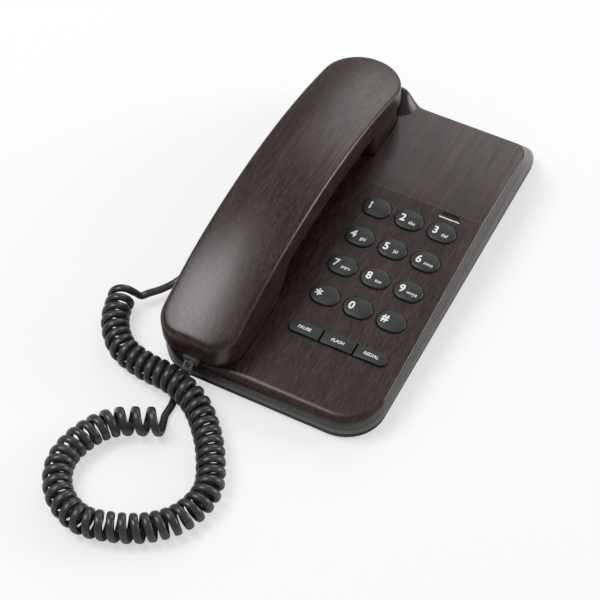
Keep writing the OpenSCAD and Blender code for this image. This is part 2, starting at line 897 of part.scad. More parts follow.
function lift(t) = crossing_lift * exp(-pow((t - crossing_at) / 0.95, 2));
function coil_t(k) = (len(coil_route) - 1) * k / turns;
function coil_centre(k) =
    let (p = curve_point(coil_route, coil_t(k)))
    [p[0], p[1], coil_rest_z + lift(coil_t(k))];
function coil_out(k) =
    let (t = curve_tangent(coil_route, coil_t(k)), a = 360 * k)
    [-t[1] * sin(a), t[0] * sin(a), -cos(a)];
function coil_along(k) =
    let (t = curve_tangent(coil_route, coil_t(k)))
    [t[0], t[1], 0];
function cord_point(k) = coil_centre(k) + coil_r * coil_out(k);
function cord_dir(k) =
    let (e = 0.01, d = cord_point(k + e) - cord_point(k - e))
    d / norm(d);
function unit(v) = v / norm(v);

// an oval ring of the cord: centre, outward direction and the direction across the cord
function oval_ring(c, out, across, sides) =
    [for (j = [0:sides - 1]) c + out * cord_t / 2 * cos(360 * j / sides) / cos(180 / sides)
        + across * cord_w / 2 * sin(360 * j / sides)];

ring_count = round(turns * rings_per_curl);
start_dir = cord_dir(0);
end_dir = cord_dir(turns);
coil_start = cord_point(0) - start_dir * cord_w;
coil_end = cord_point(turns) + end_dir * cord_w;
function ring_across(k) = unit(cross(cord_dir(k), coil_out(k)));
function ring_out(k) = unit(cross(ring_across(k), cord_dir(k)));
curl_rings = concat(
    [oval_ring(coil_start, ring_out(0), ring_across(0), 6)],
    [for (i = [0:ring_count]) let (k = turns * i / ring_count)
        oval_ring(cord_point(k), ring_out(k), ring_across(k), 6)],
    [oval_ring(coil_end, ring_out(turns), ring_across(turns), 6)]
);

// skin over a list of rings with flat ends, all faces triangles
module ring_tube(rings, sides) {
    n = len(rings);
    points = [for (r = rings) for (p = r) p];
    faces = concat(
        [for (j = [1:sides - 2]) [0, j + 1, j]],
        [for (j = [1:sides - 2]) [(n - 1) * sides, (n - 1) * sides + j, (n - 1) * sides + j + 1]],
        [for (i = [0:n - 2]) for (j = [0:sides - 1])
            [i * sides + j, i * sides + (j + 1) % sides, (i + 1) * sides + j]],
        [for (i = [0:n - 2]) for (j = [0:sides - 1])
            [i * sides + (j + 1) % sides, (i + 1) * sides + (j + 1) % sides, (i + 1) * sides + j]]
    );
    polyhedron(points = points, faces = faces, convexity = 10);
}

// least distance between the points of one curl and those of the next
function ring_gap(a, b) = min([for (p = a) for (q = b) norm(p - q)]);
least_gap = min([for (i = [1:len(curl_rings) - 10]) for (j = [i + 6:min(i + 10, len(curl_rings) - 1)])
    ring_gap(curl_rings[i], curl_rings[j])]);
echo("least gap between curls, mm", least_gap);  // cord_curls

// a round tube along a smooth curve through hand-placed points
function tube_ring(c, dir, r, sides) =
    let (
        side = unit(cross(dir, [0.1, 0.2, 1])),
        up = cross(side, dir)
    )
    [for (j = [0:sides - 1]) c + r * (side * cos(360 * j / sides) + up * sin(360 * j / sides))];
module lead_tube(route, steps) {
    last = len(route) - 1;
    ring_tube([for (i = [0:last * steps])
        tube_ring(curve_point(route, i / steps), curve_tangent(route, i / steps), lead_d / 2, 8)], 8);
}

plug_face = hs_point(mouth_front - handset_plug_out - 0.05, jack_v, jack_w);
plug_out = hs_point(-1, 0, 0) - hs_point(0, 0, 0);
handset_lead_route = concat(
    [coil_start, coil_start - 4 * start_dir],
    [[-38, -129.4, 1.6], [-39, -123.9, 1.6], [-39.4, -119.4, 1.6], [-39.3, -115.6, 1.9], [-38.9, -113, 4],
     [-38.5, -112, 7.2], [-38, -111.8, 10.6], [-37.4, -112.6, 14], [-36.9, -113.8, 16.6]],
    [plug_face + 1.4 * plug_out, plug_face]
);

side_plug_face = [-half_w - side_plug_out, side_jack_y, side_jack_z];
base_lead_route = concat(
    [coil_end, coil_end + 3.5 * end_dir],
    [[-82.5, -75.4, 7], [-78, -69.4, 6.4], [-74, -63.4, 6.9]],
    [side_plug_face - [3.6, 0, 0], side_plug_face]
);

module plug_body(out) {
    translate([-9, -plug_w / 2, -plug_h / 2]) cube([9 + out, plug_w, plug_h]);
    translate([-9, -1.5, -plug_h / 2 - 0.9]) cube([7, 3, 1]);
}

module handset_plug() {
    color([0.75, 0.76, 0.76])
    on_handset()
        translate([jack_v, mouth_front, jack_w])
        rotate([0, 0, -90])
        plug_body(handset_plug_out);
}

module base_plug() {
    color([0.75, 0.76, 0.76])
    translate([-half_w, side_jack_y, side_jack_z])
        rotate([0, 0, 180])
        plug_body(side_plug_out);
}

module cord_handset_lead() {
    color([0.1, 0.1, 0.1]) lead_tube(handset_lead_route, 2);
}

module cord_curls() {
    color([0.08, 0.08, 0.08]) ring_tube(curl_rings, 6);
}

module cord_base_lead() {
    color([0.1, 0.1, 0.1]) lead_tube(base_lead_route, 2);
}

bottom_shell();
middle_frame();
top_cover();
keypad_mat();
main_board();
board_screws();
base_screws();
rubber_feet();
weight_plate();
ringer();
hook_switch();
hook_plunger();
line_jack();
base_jack();
indicator_lens();
key_1();
key_2();
key_3();
key_4();
key_5();
key_6();
key_7();
key_8();
key_9();
key_star();
key_0();
key_hash();
key_pause();
key_flash();
key_redial();
handset_upper_shell();
handset_lower_shell();
receiver();
microphone();
handset_jack();
handset_weight();
handset_screws();
handset_plug();
cord_handset_lead();
cord_curls();
cord_base_lead();
base_plug();
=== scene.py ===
import bpy
import bmesh
import math
from mathutils import Matrix, Vector


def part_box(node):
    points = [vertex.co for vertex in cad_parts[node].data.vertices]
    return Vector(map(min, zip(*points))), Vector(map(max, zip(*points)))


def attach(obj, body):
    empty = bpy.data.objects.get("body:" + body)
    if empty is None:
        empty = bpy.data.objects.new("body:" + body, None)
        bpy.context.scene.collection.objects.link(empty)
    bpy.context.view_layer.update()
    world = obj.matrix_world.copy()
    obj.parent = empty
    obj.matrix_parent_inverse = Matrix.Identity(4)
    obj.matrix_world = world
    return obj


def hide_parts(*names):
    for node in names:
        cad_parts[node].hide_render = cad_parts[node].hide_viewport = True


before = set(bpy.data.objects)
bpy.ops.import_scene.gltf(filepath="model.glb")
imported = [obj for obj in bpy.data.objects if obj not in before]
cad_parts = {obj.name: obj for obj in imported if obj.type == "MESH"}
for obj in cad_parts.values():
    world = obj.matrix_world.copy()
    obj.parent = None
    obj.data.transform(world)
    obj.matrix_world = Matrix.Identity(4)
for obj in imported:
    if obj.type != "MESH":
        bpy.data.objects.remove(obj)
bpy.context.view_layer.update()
mm = 0.001
print("frame loaded,", len(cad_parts), "nodes")


# where the camera stands and looks, in metres
cameraValues = {
    "place": (0.26974, -0.58498, 0.78831),
    "target": (-0.01156, -0.03778, 0.0),
    "lens": 112.68,
}


def makeCamera():
    data = bpy.data.cameras.new("productCamera")
    data.lens = cameraValues["lens"]
    data.sensor_width = 36
    data.clip_start = 0.05
    data.clip_end = 30
    camera = bpy.data.objects.new("productCamera", data)
    bpy.context.scene.collection.objects.link(camera)
    camera.location = cameraValues["place"]
    look = Vector(cameraValues["target"]) - Vector(cameraValues["place"])
    camera.rotation_euler = look.to_track_quat("-Z", "Y").to_euler()
    bpy.context.scene.camera = camera


makeCamera()
print("camera set")


# sizes in millimetres and degrees
baseValues = {
    "width": 124.0,
    "length": 220.0,
    "overhang": 2.7,  # of the handset past the base's front
    "panelFront": 15.8,  # height of the key panel's front end
    "panelTilt": 5.3,
    "rearTilt": 0.6,
    "creaseFromRear": 79.5,
    "frontCorner": 22.0,
    "rearCorner": 7.5,
    "bendZ": 3.9,  # the rear wall's foot bends round this height
    "bendRadius": 13.0,
    "lean": 41.7,
    "wall": 2.4,
    "frontRoll": 5.0,
    "sideRoll": 1.4,
    "bandFront": 7.6,  # seam between the grey band and the cover
    "bandTilt": 2.3,
}
handsetValues = {
    "x": -34.6,
    "tilt": 3.8,
    "yaw": 1.3,
    "restFromFront": 13.5,  # where its mouth end lies on the key panel
    "length": 210.0,
    "width": 44.2,
    "rimMid": 39.3,  # the arched rim's height over the cradle, halfway and at the ends
    "rimEnd": 20.1,
    "slab": 14.0,  # the slab's thickness, halfway and at the ends
    "slabEnd": 11.0,
    "splitUp": 2.0,  # from its underside up to the seam between the shells
    "crown": 2.5,
    "shell": 2.2,
    "mouthCorner": 14.0,
    "earCorner": 21.5,
    "blockInset": 0.1,  # of its mouth and ear blocks' sides from the slab's outline
    "pocketDepth": 3.3,
    "rimRound": 1.5,
    "mouthRound": 3.0,
    "mouthSetBack": 3.6,
    "mouthFoot": (-70.4, 0),  # its side towards the grip, as a curve from foot to top
    "mouthBend": (-52.0, 0),
    "mouthTop": (-38.5, 24.5),
    "earSetBack": 5.5,
    "earInner": 54.2,
    "earLean": 0.4,
    "earFrontRound": 5.0,
    "plungerY": 82.0,
    "plungerHole": 3.25,
    "jackAcross": 0.5,
    "jackUp": 3.9,
    "plugStandOut": 4.85,
}
b = baseValues
h = handsetValues
baseFront = (b["overhang"] - b["length"]) / 2
baseRear = baseFront + b["length"]
panelSlope = math.tan(math.radians(b["panelTilt"]))
rearSlope = math.tan(math.radians(b["rearTilt"]))
creaseY = baseRear - b["creaseFromRear"]
creaseZ = b["panelFront"] + (creaseY - baseFront) * panelSlope
halfL, halfW = h["length"] / 2, h["width"] / 2
mouthFront = -halfL + h["mouthSetBack"]
earRear = halfL - h["earSetBack"]
hsTilt = math.radians(h["tilt"])
hsY = (baseFront - b["overhang"] + halfL * math.cos(hsTilt)
       + (h["rimEnd"] + h["crown"]) * math.sin(hsTilt))
restY = baseFront + h["restFromFront"]
hsZ = (b["panelFront"] + (restY - baseFront) * panelSlope - h["pocketDepth"]
       - (restY - hsY) * math.tan(hsTilt))
handsetPlace = (Matrix.Translation(Vector((h["x"], hsY, hsZ)) * mm)
                @ Matrix.Rotation(math.radians(-h["yaw"]), 4, "Z") @ Matrix.Rotation(hsTilt, 4, "X"))
panelPlace = (Matrix.Translation(Vector((0, baseFront, b["panelFront"])) * mm)
              @ Matrix.Rotation(math.radians(b["panelTilt"]), 4, "X"))
plugPlace = Vector((h["jackAcross"], mouthFront - h["plugStandOut"], h["shell"] + h["jackUp"]))
plugFace = handsetPlace @ (plugPlace * mm)


# leaves edit mode with nothing selected
def clearSelection():
    if bpy.context.object and bpy.context.object.mode != "OBJECT":
        bpy.ops.object.mode_set(mode="OBJECT")
    bpy.ops.object.select_all(action="DESELECT")


# makes a piece the only selected one and the active one
def takeUp(piece):
    clearSelection()
    piece.select_set(True)
    bpy.context.view_layer.objects.active = piece


# takes a piece into edit mode with everything selected
def editAll(piece):
    takeUp(piece)
    bpy.ops.object.mode_set(mode="EDIT")
    bpy.ops.mesh.select_all(action="SELECT")


def leaveEdit():
    bpy.ops.object.mode_set(mode="OBJECT")


# turns the faces of the piece in edit mode outwards and leaves it
def faceOutwards():
    bpy.ops.mesh.select_all(action="SELECT")
    bpy.ops.mesh.normals_make_consistent(inside=False)
    leaveEdit()


def applyModifier(piece, kind, **values):
    takeUp(piece)
    modifier = piece.modifiers.new(kind.lower(), kind)
    for key, value in values.items():
        setattr(modifier, key, value)
    bpy.ops.object.modifier_apply(modifier=modifier.name)


# a boolean with another piece, which is used up
def combine(piece, other, how):
    applyModifier(piece, "BOOLEAN", object=other, operation=how, solver="EXACT")
    bpy.data.objects.remove(other)
    return piece


# a flat outline in millimetres, extruded straight up from low to high
def extrudeOutline(name, points, low, high):
    clearSelection()
    bpy.ops.mesh.primitive_circle_add(vertices=len(points), radius=1, fill_type="NGON")
    piece = bpy.context.object
    piece.name = name
    for vertex, point in zip(piece.data.vertices, points):
        vertex.co = (point[0] * mm, point[1] * mm, low * mm)
    editAll(piece)
    bpy.ops.mesh.extrude_region_move(TRANSFORM_OT_translate={"value": (0, 0, (high - low) * mm)})
    faceOutwards()
    return piece


def moveMesh(piece, matrix):
    piece.data.transform(matrix)
    piece.data.update()
    return piece


# an outline of (y, z) points, extruded along X
def extrudeSideways(name, points, low, high):
    turn = Matrix(((0, 0, 1, 0), (1, 0, 0, 0), (0, 1, 0, 0), (0, 0, 0, 1)))
    return moveMesh(extrudeOutline(name, points, low, high), turn)


# bevels the edges that a test picks out, by a width in millimetres
def bevelEdges(piece, wanted, width, segments):
    takeUp(piece)
    bpy.ops.object.mode_set(mode="EDIT")
    bpy.ops.mesh.select_mode(type="EDGE")
    bpy.ops.mesh.select_all(action="DESELECT")
    work = bmesh.from_edit_mesh(piece.data)
    for edge in work.edges:
        if wanted(edge):
            edge.select = True
    work.select_flush(True)
    bmesh.update_edit_mesh(piece.data)
    bpy.ops.mesh.bevel(offset=width * mm, segments=segments, affect="EDGES", clamp_overlap=True)
    leaveEdit()


# cuts a piece by a plane and closes the cut; the side that the normal points to goes, or else stays
def slicePiece(piece, place, normal, keepBelow=True):
    editAll(piece)
    bpy.ops.mesh.bisect(plane_co=place, plane_no=normal, use_fill=True,
                        clear_outer=keepBelow, clear_inner=not keepBelow)
    leaveEdit()


def smoothPiece(piece, angle=30):
    takeUp(piece)
    bpy.ops.object.shade_smooth_by_angle(angle=math.radians(angle))


# smooth shading that keeps the large flat faces flat
def smoothByArea(piece, angle):
    smoothPiece(piece, angle)
    applyModifier(piece, "WEIGHTED_NORMAL", mode="FACE_AREA", weight=100, keep_sharp=True)


# a merged copy of a CAD node, ready for bevels
def copyNode(name, node):
    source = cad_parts[node]
    piece = bpy.data.objects.new(name, source.data.copy())
    bpy.context.scene.collection.objects.link(piece)
    piece.data.materials.clear()
    editAll(piece)
    bpy.ops.mesh.remove_doubles(threshold=0.02 * mm)
    bpy.ops.mesh.dissolve_limited(angle_limit=math.radians(1))
    leaveEdit()
    return piece


# gives a piece its material and its body, and hides the CAD nodes that it stands for
def place(piece, body, slotName, nodes, material):
    if not piece.data.materials:
        piece.data.materials.append(material)
    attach(piece, body)
    if nodes:
        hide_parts(*nodes)
    return piece


def rectangle(x0, x1, y0, y1):
    return [(x0, y0), (x1, y0), (x1, y1), (x0, y1)]


def arc(cx, cy, r, start, end, count):
    turn = [math.radians(start + (end - start) * i / count) for i in range(count + 1)]
    return [(cx + r * math.cos(a), cy + r * math.sin(a)) for a in turn]


# a rectangle with one corner radius at the front and another at the rear
def roundedPlan(x0, x1, y0, y1, frontR, rearR, count=14):
    return (arc(x1 - frontR, y0 + frontR, frontR, -90, 0, count)
            + arc(x1 - rearR, y1 - rearR, rearR, 0, 90, count)
            + arc(x0 + rearR, y1 - rearR, rearR, 90, 180, count)
            + arc(x0 + frontR, y0 + frontR, frontR, 180, 270, count))


# a bar with half-round ends
def stadium(width, depth, count=16):
    r = depth / 2
    return arc(width / 2 - r, 0, r, -90, 90, count) + arc(r - width / 2, 0, r, 90, 270, count)


# a shader group with named sockets, and its two end nodes
def newGroup(name, inputs, outputs):
    group = bpy.data.node_groups.new(name, "ShaderNodeTree")
    for label, kind, value in inputs:
        socket = group.interface.new_socket(name=label, in_out="INPUT", socket_type=kind)
        socket.default_value = value
    for label, kind in outputs:
        group.interface.new_socket(name=label, in_out="OUTPUT", socket_type=kind)
    return group, group.nodes.new("NodeGroupInput"), group.nodes.new("NodeGroupOutput")


def addNode(tree, kind, links=None, **values):
    node = tree.nodes.new(kind)
    for key, value in values.items():
        setattr(node, key, value)
    for socket, value in (links or {}).items():
        if hasattr(value, "is_output"):
            tree.links.new(value, node.inputs[socket])
        else:
            node.inputs[socket].default_value = value
    return node


def addMath(tree, operation, first, second):
    return addNode(tree, "ShaderNodeMath", {0: first, 1: second}, operation=operation).outputs[0]


# fine streaks that run along Y, with slow patches between them
def makeGrainGroup():
    group, source, result = newGroup(
        "streakGrain",
        [("Fine", "NodeSocketFloat", 1500.0), ("Along", "NodeSocketFloat", 22.0)],
        [("Streaks", "NodeSocketFloat"), ("Patches", "NodeSocketFloat"), ("Hair", "NodeSocketFloat")],
    )
    coords = addNode(group, "ShaderNodeTexCoord")
    fine, along = source.outputs[0], source.outputs[1]
    scale = addNode(group, "ShaderNodeCombineXYZ", {0: fine, 1: along, 2: fine})
    stretched = addNode(group, "ShaderNodeVectorMath", {0: coords.outputs["Object"], 1: scale.outputs[0]},
                        operation="MULTIPLY")
    streaks = addNode(group, "ShaderNodeTexNoise", {
        "Vector": stretched.outputs[0], "Scale": 1.0, "Detail": 3.0, "Roughness": 0.6, "Distortion": 0.15})
    slow = addNode(group, "ShaderNodeVectorMath", {0: coords.outputs["Object"], 1: (160.0, 9.0, 160.0)},
                   operation="MULTIPLY")
    patches = addNode(group, "ShaderNodeTexNoise", {
        "Vector": slow.outputs[0], "Scale": 1.0, "Detail": 4.0, "Roughness": 0.55})
    hairScale = addNode(group, "ShaderNodeVectorMath", {0: stretched.outputs[0], 1: (2.6, 1.6, 2.6)},
                        operation="MULTIPLY")
    hair = addNode(group, "ShaderNodeTexNoise", {
        "Vector": hairScale.outputs[0], "Scale": 1.0, "Detail": 2.0, "Roughness": 0.7})
    group.links.new(streaks.outputs["Fac"], result.inputs[0])
    group.links.new(patches.outputs["Fac"], result.inputs[1])
    group.links.new(hair.outputs["Fac"], result.inputs[2])
    return group


# moulded plastic: faint spark texture and handling marks
def makeMouldGroup():
    group, source, result = newGroup(
        "mouldedSkin",
        [("Texture", "NodeSocketFloat", 2600.0), ("Handling", "NodeSocketFloat", 45.0)],
        [("Skin", "NodeSocketFloat"), ("Marks", "NodeSocketFloat")],
    )
    coords = addNode(group, "ShaderNodeTexCoord")
    skin = addNode(group, "ShaderNodeTexNoise", {
        "Vector": coords.outputs["Object"], "Scale": source.outputs[0], "Detail": 2.0, "Roughness": 0.5})
    marks = addNode(group, "ShaderNodeTexNoise", {
        "Vector": coords.outputs["Object"], "Scale": source.outputs[1], "Detail": 5.0, "Roughness": 0.6})
    group.links.new(skin.outputs["Fac"], result.inputs[0])
    group.links.new(marks.outputs["Fac"], result.inputs[1])
    return group


grainGroup = makeGrainGroup()
mouldGroup = makeMouldGroup()


def newMaterial(name):
    material = bpy.data.materials.new(name)
    material.use_nodes = True
    return material, material.node_tree, material.node_tree.nodes["Principled BSDF"]


def ramp(tree, value, stops):
    node = addNode(tree, "ShaderNodeValToRGB", {0: value})
    while len(node.color_ramp.elements) < len(stops):
        node.color_ramp.elements.new(0.5)
    for element, (position, color) in zip(node.color_ramp.elements, stops):
        element.position = position
        element.color = (*color, 1.0)
    return node.outputs[0]


def mapRange(tree, value, low, high, newLow, newHigh):
    return addNode(tree, "ShaderNodeMapRange",
                   {0: value, 1: low, 2: high, 3: newLow, 4: newHigh}).outputs[0]


# dark walnut print on satin plastic
woodValues = {
    "fine": 1500.0,
    "along": 22.0,
    "streakShare": 0.72,
    "patchShare": 0.28,
    "dark": (0.38, (0.0090, 0.0036, 0.0032)),  # where on the grain each colour lies, and the colour
    "mid": (0.5, (0.0245, 0.0108, 0.0095)),
    "light": (0.64, (0.0560, 0.0320, 0.0290)),
    "roughLow": 0.24,
    "roughHigh": 0.38,
    "bump": 0.10,
    "bumpDepth": 0.2,
}


def makeBrownShell(name):
    v = woodValues
    material, tree, shader = newMaterial(name)
    grain = addNode(tree, "ShaderNodeGroup", node_tree=grainGroup)
    grain.inputs[0].default_value = v["fine"]
    grain.inputs[1].default_value = v["along"]
    streaks, patches, hair = grain.outputs
    mixed = addMath(tree, "ADD", addMath(tree, "MULTIPLY", streaks, v["streakShare"]),
                    addMath(tree, "MULTIPLY", patches, v["patchShare"]))
    color = ramp(tree, mixed, [v["dark"], v["mid"], v["light"]])
    tree.links.new(color, shader.inputs["Base Color"])
    rough = mapRange(tree, hair, 0.3, 0.7, v["roughLow"], v["roughHigh"])
    tree.links.new(rough, shader.inputs["Roughness"])
    bump = addNode(tree, "ShaderNodeBump", {
        "Height": hair, "Strength": v["bump"], "Distance": v["bumpDepth"] * mm})
    tree.links.new(bump.outputs[0], shader.inputs["Normal"])
    return material


# plain moulded plastic, rubber or vinyl
def makeMoulded(name, low, high, roughLow, roughHigh, bumpStrength, texture=2600.0, handling=45.0):
    material, tree, shader = newMaterial(name)
    mould = addNode(tree, "ShaderNodeGroup", node_tree=mouldGroup)
    mould.inputs[0].default_value = texture
    mould.inputs[1].default_value = handling
    skin, marks = mould.outputs
    color = ramp(tree, marks, [(0.35, low), (0.65, high)])
    tree.links.new(color, shader.inputs["Base Color"])
    rough = mapRange(tree, marks, 0.3, 0.7, roughLow, roughHigh)
    tree.links.new(rough, shader.inputs["Roughness"])
    bump = addNode(tree, "ShaderNodeBump", {"Height": skin, "Strength": bumpStrength, "Distance": 0.1 * mm})
    tree.links.new(bump.outputs[0], shader.inputs["Normal"])
    return material, shader


def grey(value):
    return (value, value, value)


# two colours, two roughnesses and the bump; then, where it isn't the usual, the scales of skin and marks
mouldedLooks = {
    # a lighter brown for the raised line along the crease: a painted highlight
    "creaseHighlightBrown": ((0.055, 0.036, 0.033), (0.075, 0.052, 0.048), 0.35, 0.45, 0.05),
    "greyFrame": (grey(0.075), grey(0.090), 0.30, 0.40, 0.10),
    "blackShell": (grey(0.008), grey(0.012), 0.45, 0.6, 0.25),
    "keyPlastic": ((0.0125, 0.0130, 0.0135), (0.0175, 0.0180, 0.0185), 0.38, 0.48, 0.12),
    "legendInk": (grey(0.78), grey(0.86), 0.45, 0.6, 0.05),
    "cordVinyl": (grey(0.0240), grey(0.0340), 0.24, 0.36, 0.10, 1500.0, 70.0),
    "blackPlastic": (grey(0.010), grey(0.016), 0.4, 0.55, 0.2),
    "whitePlastic": ((0.66, 0.65, 0.60), (0.72, 0.71, 0.67), 0.35, 0.45, 0.1),
    "matRubber": (grey(0.2), grey(0.25), 0.6, 0.75, 0.2),
    "footRubber": (grey(0.012), grey(0.02), 0.7, 0.85, 0.4),
    "circuitBoard": ((0.012, 0.085, 0.035), (0.02, 0.12, 0.05), 0.3, 0.45, 0.15, 900.0),
    "lensPlastic": ((0.010, 0.003, 0.003), (0.016, 0.005, 0.005), 0.15, 0.22, 0.03),
    "screwSteel": (grey(0.45), grey(0.55), 0.28, 0.42, 0.1),
    "plateSteel": (grey(0.30), grey(0.38), 0.35, 0.55, 0.2, 1200.0),
    "leadGrey": (grey(0.13), grey(0.16), 0.3, 0.4, 0.1),
    "clearPlug": (grey(0.10), grey(0.14), 0.12, 0.22, 0.05),
}
plugValues = {"transmission": 0.05, "refraction": 1.49}

brownShell = makeBrownShell("brownShell")
looks, shaders = {}, {}
for look, values in mouldedLooks.items():
    looks[look], shaders[look] = makeMoulded(look, *values)
for look in ("screwSteel", "plateSteel"):
    shaders[look].inputs["Metallic"].default_value = 1.0
shaders["clearPlug"].inputs["Transmission Weight"].default_value = plugValues["transmission"]
shaders["clearPlug"].inputs["IOR"].default_value = plugValues["refraction"]
print("materials made")


# the curly cord, in millimetres; its routes are in metres, as in the part's source
cordValues = {
    "coilOuter": 15.2,
    "width": 4.2,
    "thickness": 3.0,
    "curls": 52,
    "lastTurn": 0.625,
    "ringsPerCurl": 26,
    "sides": 14,
    "squareness": 0.82,  # under 1 squares the oval a little, as an extruded flat cord is
    "crossingAt": 12.85,  # counted in the route's points
    "crossingSpan": 0.95,
    "crossingLift": 3.5,
    "overTable": 0.05,
    "leadWidth": 4.0,
    "leadThickness": 2.7,
    "leadSpacing": 1.2,
    "leadTwist": 1.6,  # how early the lead turns to the coil's flat side
    "startRun": 4.0,  # straight runs out of the coil and out of the two plugs
    "endRun": 3.5,
    "handsetRun": 1.4,
    "baseRun": 3.6,
    "basePlugPlace": (-0.0579, 0.0086),  # y and z, in metres
    "coilRoute": [
        (-0.0355, -0.1439), (-0.056, -0.1549), (-0.0655, -0.1699), (-0.0675, -0.1874), (-0.059, -0.2029),
        (-0.043, -0.2109), (-0.026, -0.2079), (-0.010, -0.1999), (0.0015, -0.1869), (0.005, -0.1694),
        (-0.002, -0.1529), (-0.0125, -0.1384), (-0.0255, -0.1269), (-0.042, -0.1209), (-0.0595, -0.1179),
        (-0.0765, -0.1124), (-0.0885, -0.0994), (-0.094, -0.0824),
    ],
    "handsetRoute": [
        (-0.038, -0.1294, 0.0016), (-0.039, -0.1239, 0.0016), (-0.0394, -0.1194, 0.0016),
        (-0.0393, -0.1156, 0.0019), (-0.0389, -0.113, 0.004), (-0.0385, -0.112, 0.0072),
        (-0.038, -0.1118, 0.0106), (-0.0374, -0.1126, 0.014), (-0.0369, -0.1138, 0.0166),
    ],
    "baseRoute": [(-0.0825, -0.0754, 0.007), (-0.078, -0.0694, 0.0064), (-0.074, -0.0634, 0.0069)],
}


# a point of the smooth curve through some points, t counted in points
def curvePoint(points, t):
    last = len(points) - 1
    i = max(0, min(int(math.floor(t)), last - 1))
    f = t - i
    a = points[i - 1] if i > 0 else 2 * points[0] - points[1]
    b, c = points[i], points[i + 1]
    d = points[i + 2] if i + 2 <= last else 2 * points[last] - points[last - 1]
    square, cube = 2 * a - 5 * b + 4 * c - d, 3 * b - a - 3 * c + d
    return 0.5 * (2 * b + (c - a) * f + square * f * f + cube * f ** 3)


# the coil's axis at a turn, and the direction from it to the cord
def coilFrame(turn):
    v = cordValues
    route = [Vector(p) for p in v["coilRoute"]]
    last = len(route) - 1
    t = last * turn / (v["curls"] + v["lastTurn"])
    step = 0.02
    along = (curvePoint(route, min(t + step, last)) - curvePoint(route, max(t - step, 0))).normalized()
    lift = v["crossingLift"] * math.exp(-((t - v["crossingAt"]) / v["crossingSpan"]) ** 2)
    flat = curvePoint(route, t)
    centre = Vector((flat[0], flat[1], (v["coilOuter"] / 2 + v["overTable"] + lift) * mm))
    a = 2 * math.pi * turn
    outward = Vector((-along[1] * math.sin(a), along[0] * math.sin(a), -math.cos(a)))
    return centre, outward


def coilPoint(turn):
    centre, outward = coilFrame(turn)
    return centre + outward * (cordValues["coilOuter"] - cordValues["thickness"]) / 2 * mm


def coilDirection(turn):
    return (coilPoint(turn + 0.01) - coilPoint(turn - 0.01)).normalized()


# evenly spaced points on the smooth curve through some points
def evenPoints(points, spacing):
    fine = [curvePoint(points, i / 40) for i in range(40 * (len(points) - 1) + 1)]
    total = sum((b - a).length for a, b in zip(fine, fine[1:]))
    count = max(2, round(total / spacing))
    chosen, walked, target = [fine[0]], 0.0, total / count
    for a, b in zip(fine, fine[1:]):
        length = (b - a).length
        while walked + length >= target - 1e-9 and len(chosen) <= count:
            chosen.append(a.lerp(b, (target - walked) / length))
            target += total / count
        walked += length
    chosen[-1] = fine[-1]
    return chosen


# the cord's cross-sections from plug to plug, each with centre, outward direction, width and thickness
def cordRings():
    v = cordValues
    turns = v["curls"] + v["lastTurn"]
    plugOut = (handsetPlace.to_3x3() @ Vector((0, -1, 0))).normalized()
    startDirection = coilDirection(0)
    endDirection = coilDirection(turns)
    coilStart = coilPoint(0) - startDirection * v["width"] * mm
    coilEnd = coilPoint(turns) + endDirection * v["width"] * mm
    handsetLead = [coilStart, coilStart - startDirection * v["startRun"] * mm]
    handsetLead += [Vector(p) for p in v["handsetRoute"]]
    handsetLead += [plugFace + plugOut * v["handsetRun"] * mm, plugFace]
    sideFace = Vector((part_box("base_plug")[0][0], *v["basePlugPlace"]))
    baseLead = [coilEnd, coilEnd + endDirection * v["endRun"] * mm] + [Vector(p) for p in v["baseRoute"]]
    baseLead += [sideFace - Vector((v["baseRun"] * mm, 0, 0)), sideFace]
    coilSize = (v["width"], v["thickness"])
    leadSize = (v["leadWidth"], v["leadThickness"])

    rings = []
    leadPoints = list(reversed(evenPoints(handsetLead, v["leadSpacing"] * mm)))
    firstOut = coilFrame(0)[1]
    for i, point in enumerate(leadPoints[:-1]):
        share = i / (len(leadPoints) - 1)
        rings.append((point, Vector((0, -1, 0)).lerp(firstOut, min(1, share * v["leadTwist"])), *leadSize))
    rings.append((coilStart, firstOut, *leadSize))
    rings.append((coilStart.lerp(coilPoint(0), 0.5), firstOut, *coilSize))
    steps = round(turns * v["ringsPerCurl"])
    for i in range(steps + 1):
        turn = turns * i / steps
        rings.append((coilPoint(turn), coilFrame(turn)[1], *coilSize))
    lastOut = coilFrame(turns)[1]
    rings.append((coilEnd.lerp(coilPoint(turns), 0.5), lastOut, *coilSize))
    outPoints = evenPoints(baseLead, v["leadSpacing"] * mm)
    for i, point in enumerate(outPoints):
        share = i / (len(outPoints) - 1)
        rings.append((point, lastOut.lerp(Vector((0, 0, 1)), share), *leadSize))
    return rings


def makeCord():
    v = cordValues
    rings = cordRings()
    points, faces, path = [], [], [ring[0] for ring in rings]
    sides = v["sides"]
    for i, (centre, hint, width, thick) in enumerate(rings):
        ahead = (path[min(i + 1, len(path) - 1)] - path[max(i - 1, 0)]).normalized()
        across = ahead.cross(hint).normalized()
        outward = across.cross(ahead).normalized()
        for j in range(sides):
            a = 2 * math.pi * j / sides
            c, s = math.cos(a), math.sin(a)
            c = math.copysign(abs(c) ** v["squareness"], c)
            s = math.copysign(abs(s) ** v["squareness"], s)
            points.append(centre + outward * c * thick / 2 * mm + across * s * width / 2 * mm)
    for i in range(len(rings) - 1):
        for j in range(sides):
            after = (j + 1) % sides
            faces.append((i * sides + j, i * sides + after, (i + 1) * sides + after, (i + 1) * sides + j))
    faces.append(tuple(reversed(range(sides))))
    faces.append(tuple(range((len(rings) - 1) * sides, len(rings) * sides)))
    mesh = bpy.data.meshes.new("curlyCord")
    mesh.from_pydata([tuple(p) for p in points], [], faces)
    cord = bpy.data.objects.new("curlyCord", mesh)
    bpy.context.scene.collection.objects.link(cord)
    editAll(cord)
    faceOutwards()
    smoothPiece(cord, 50)
    place(cord, "base", "cord_vinyl", ["cord_handset_lead", "cord_curls", "cord_base_lead"],
          looks["cordVinyl"])


makeCord()


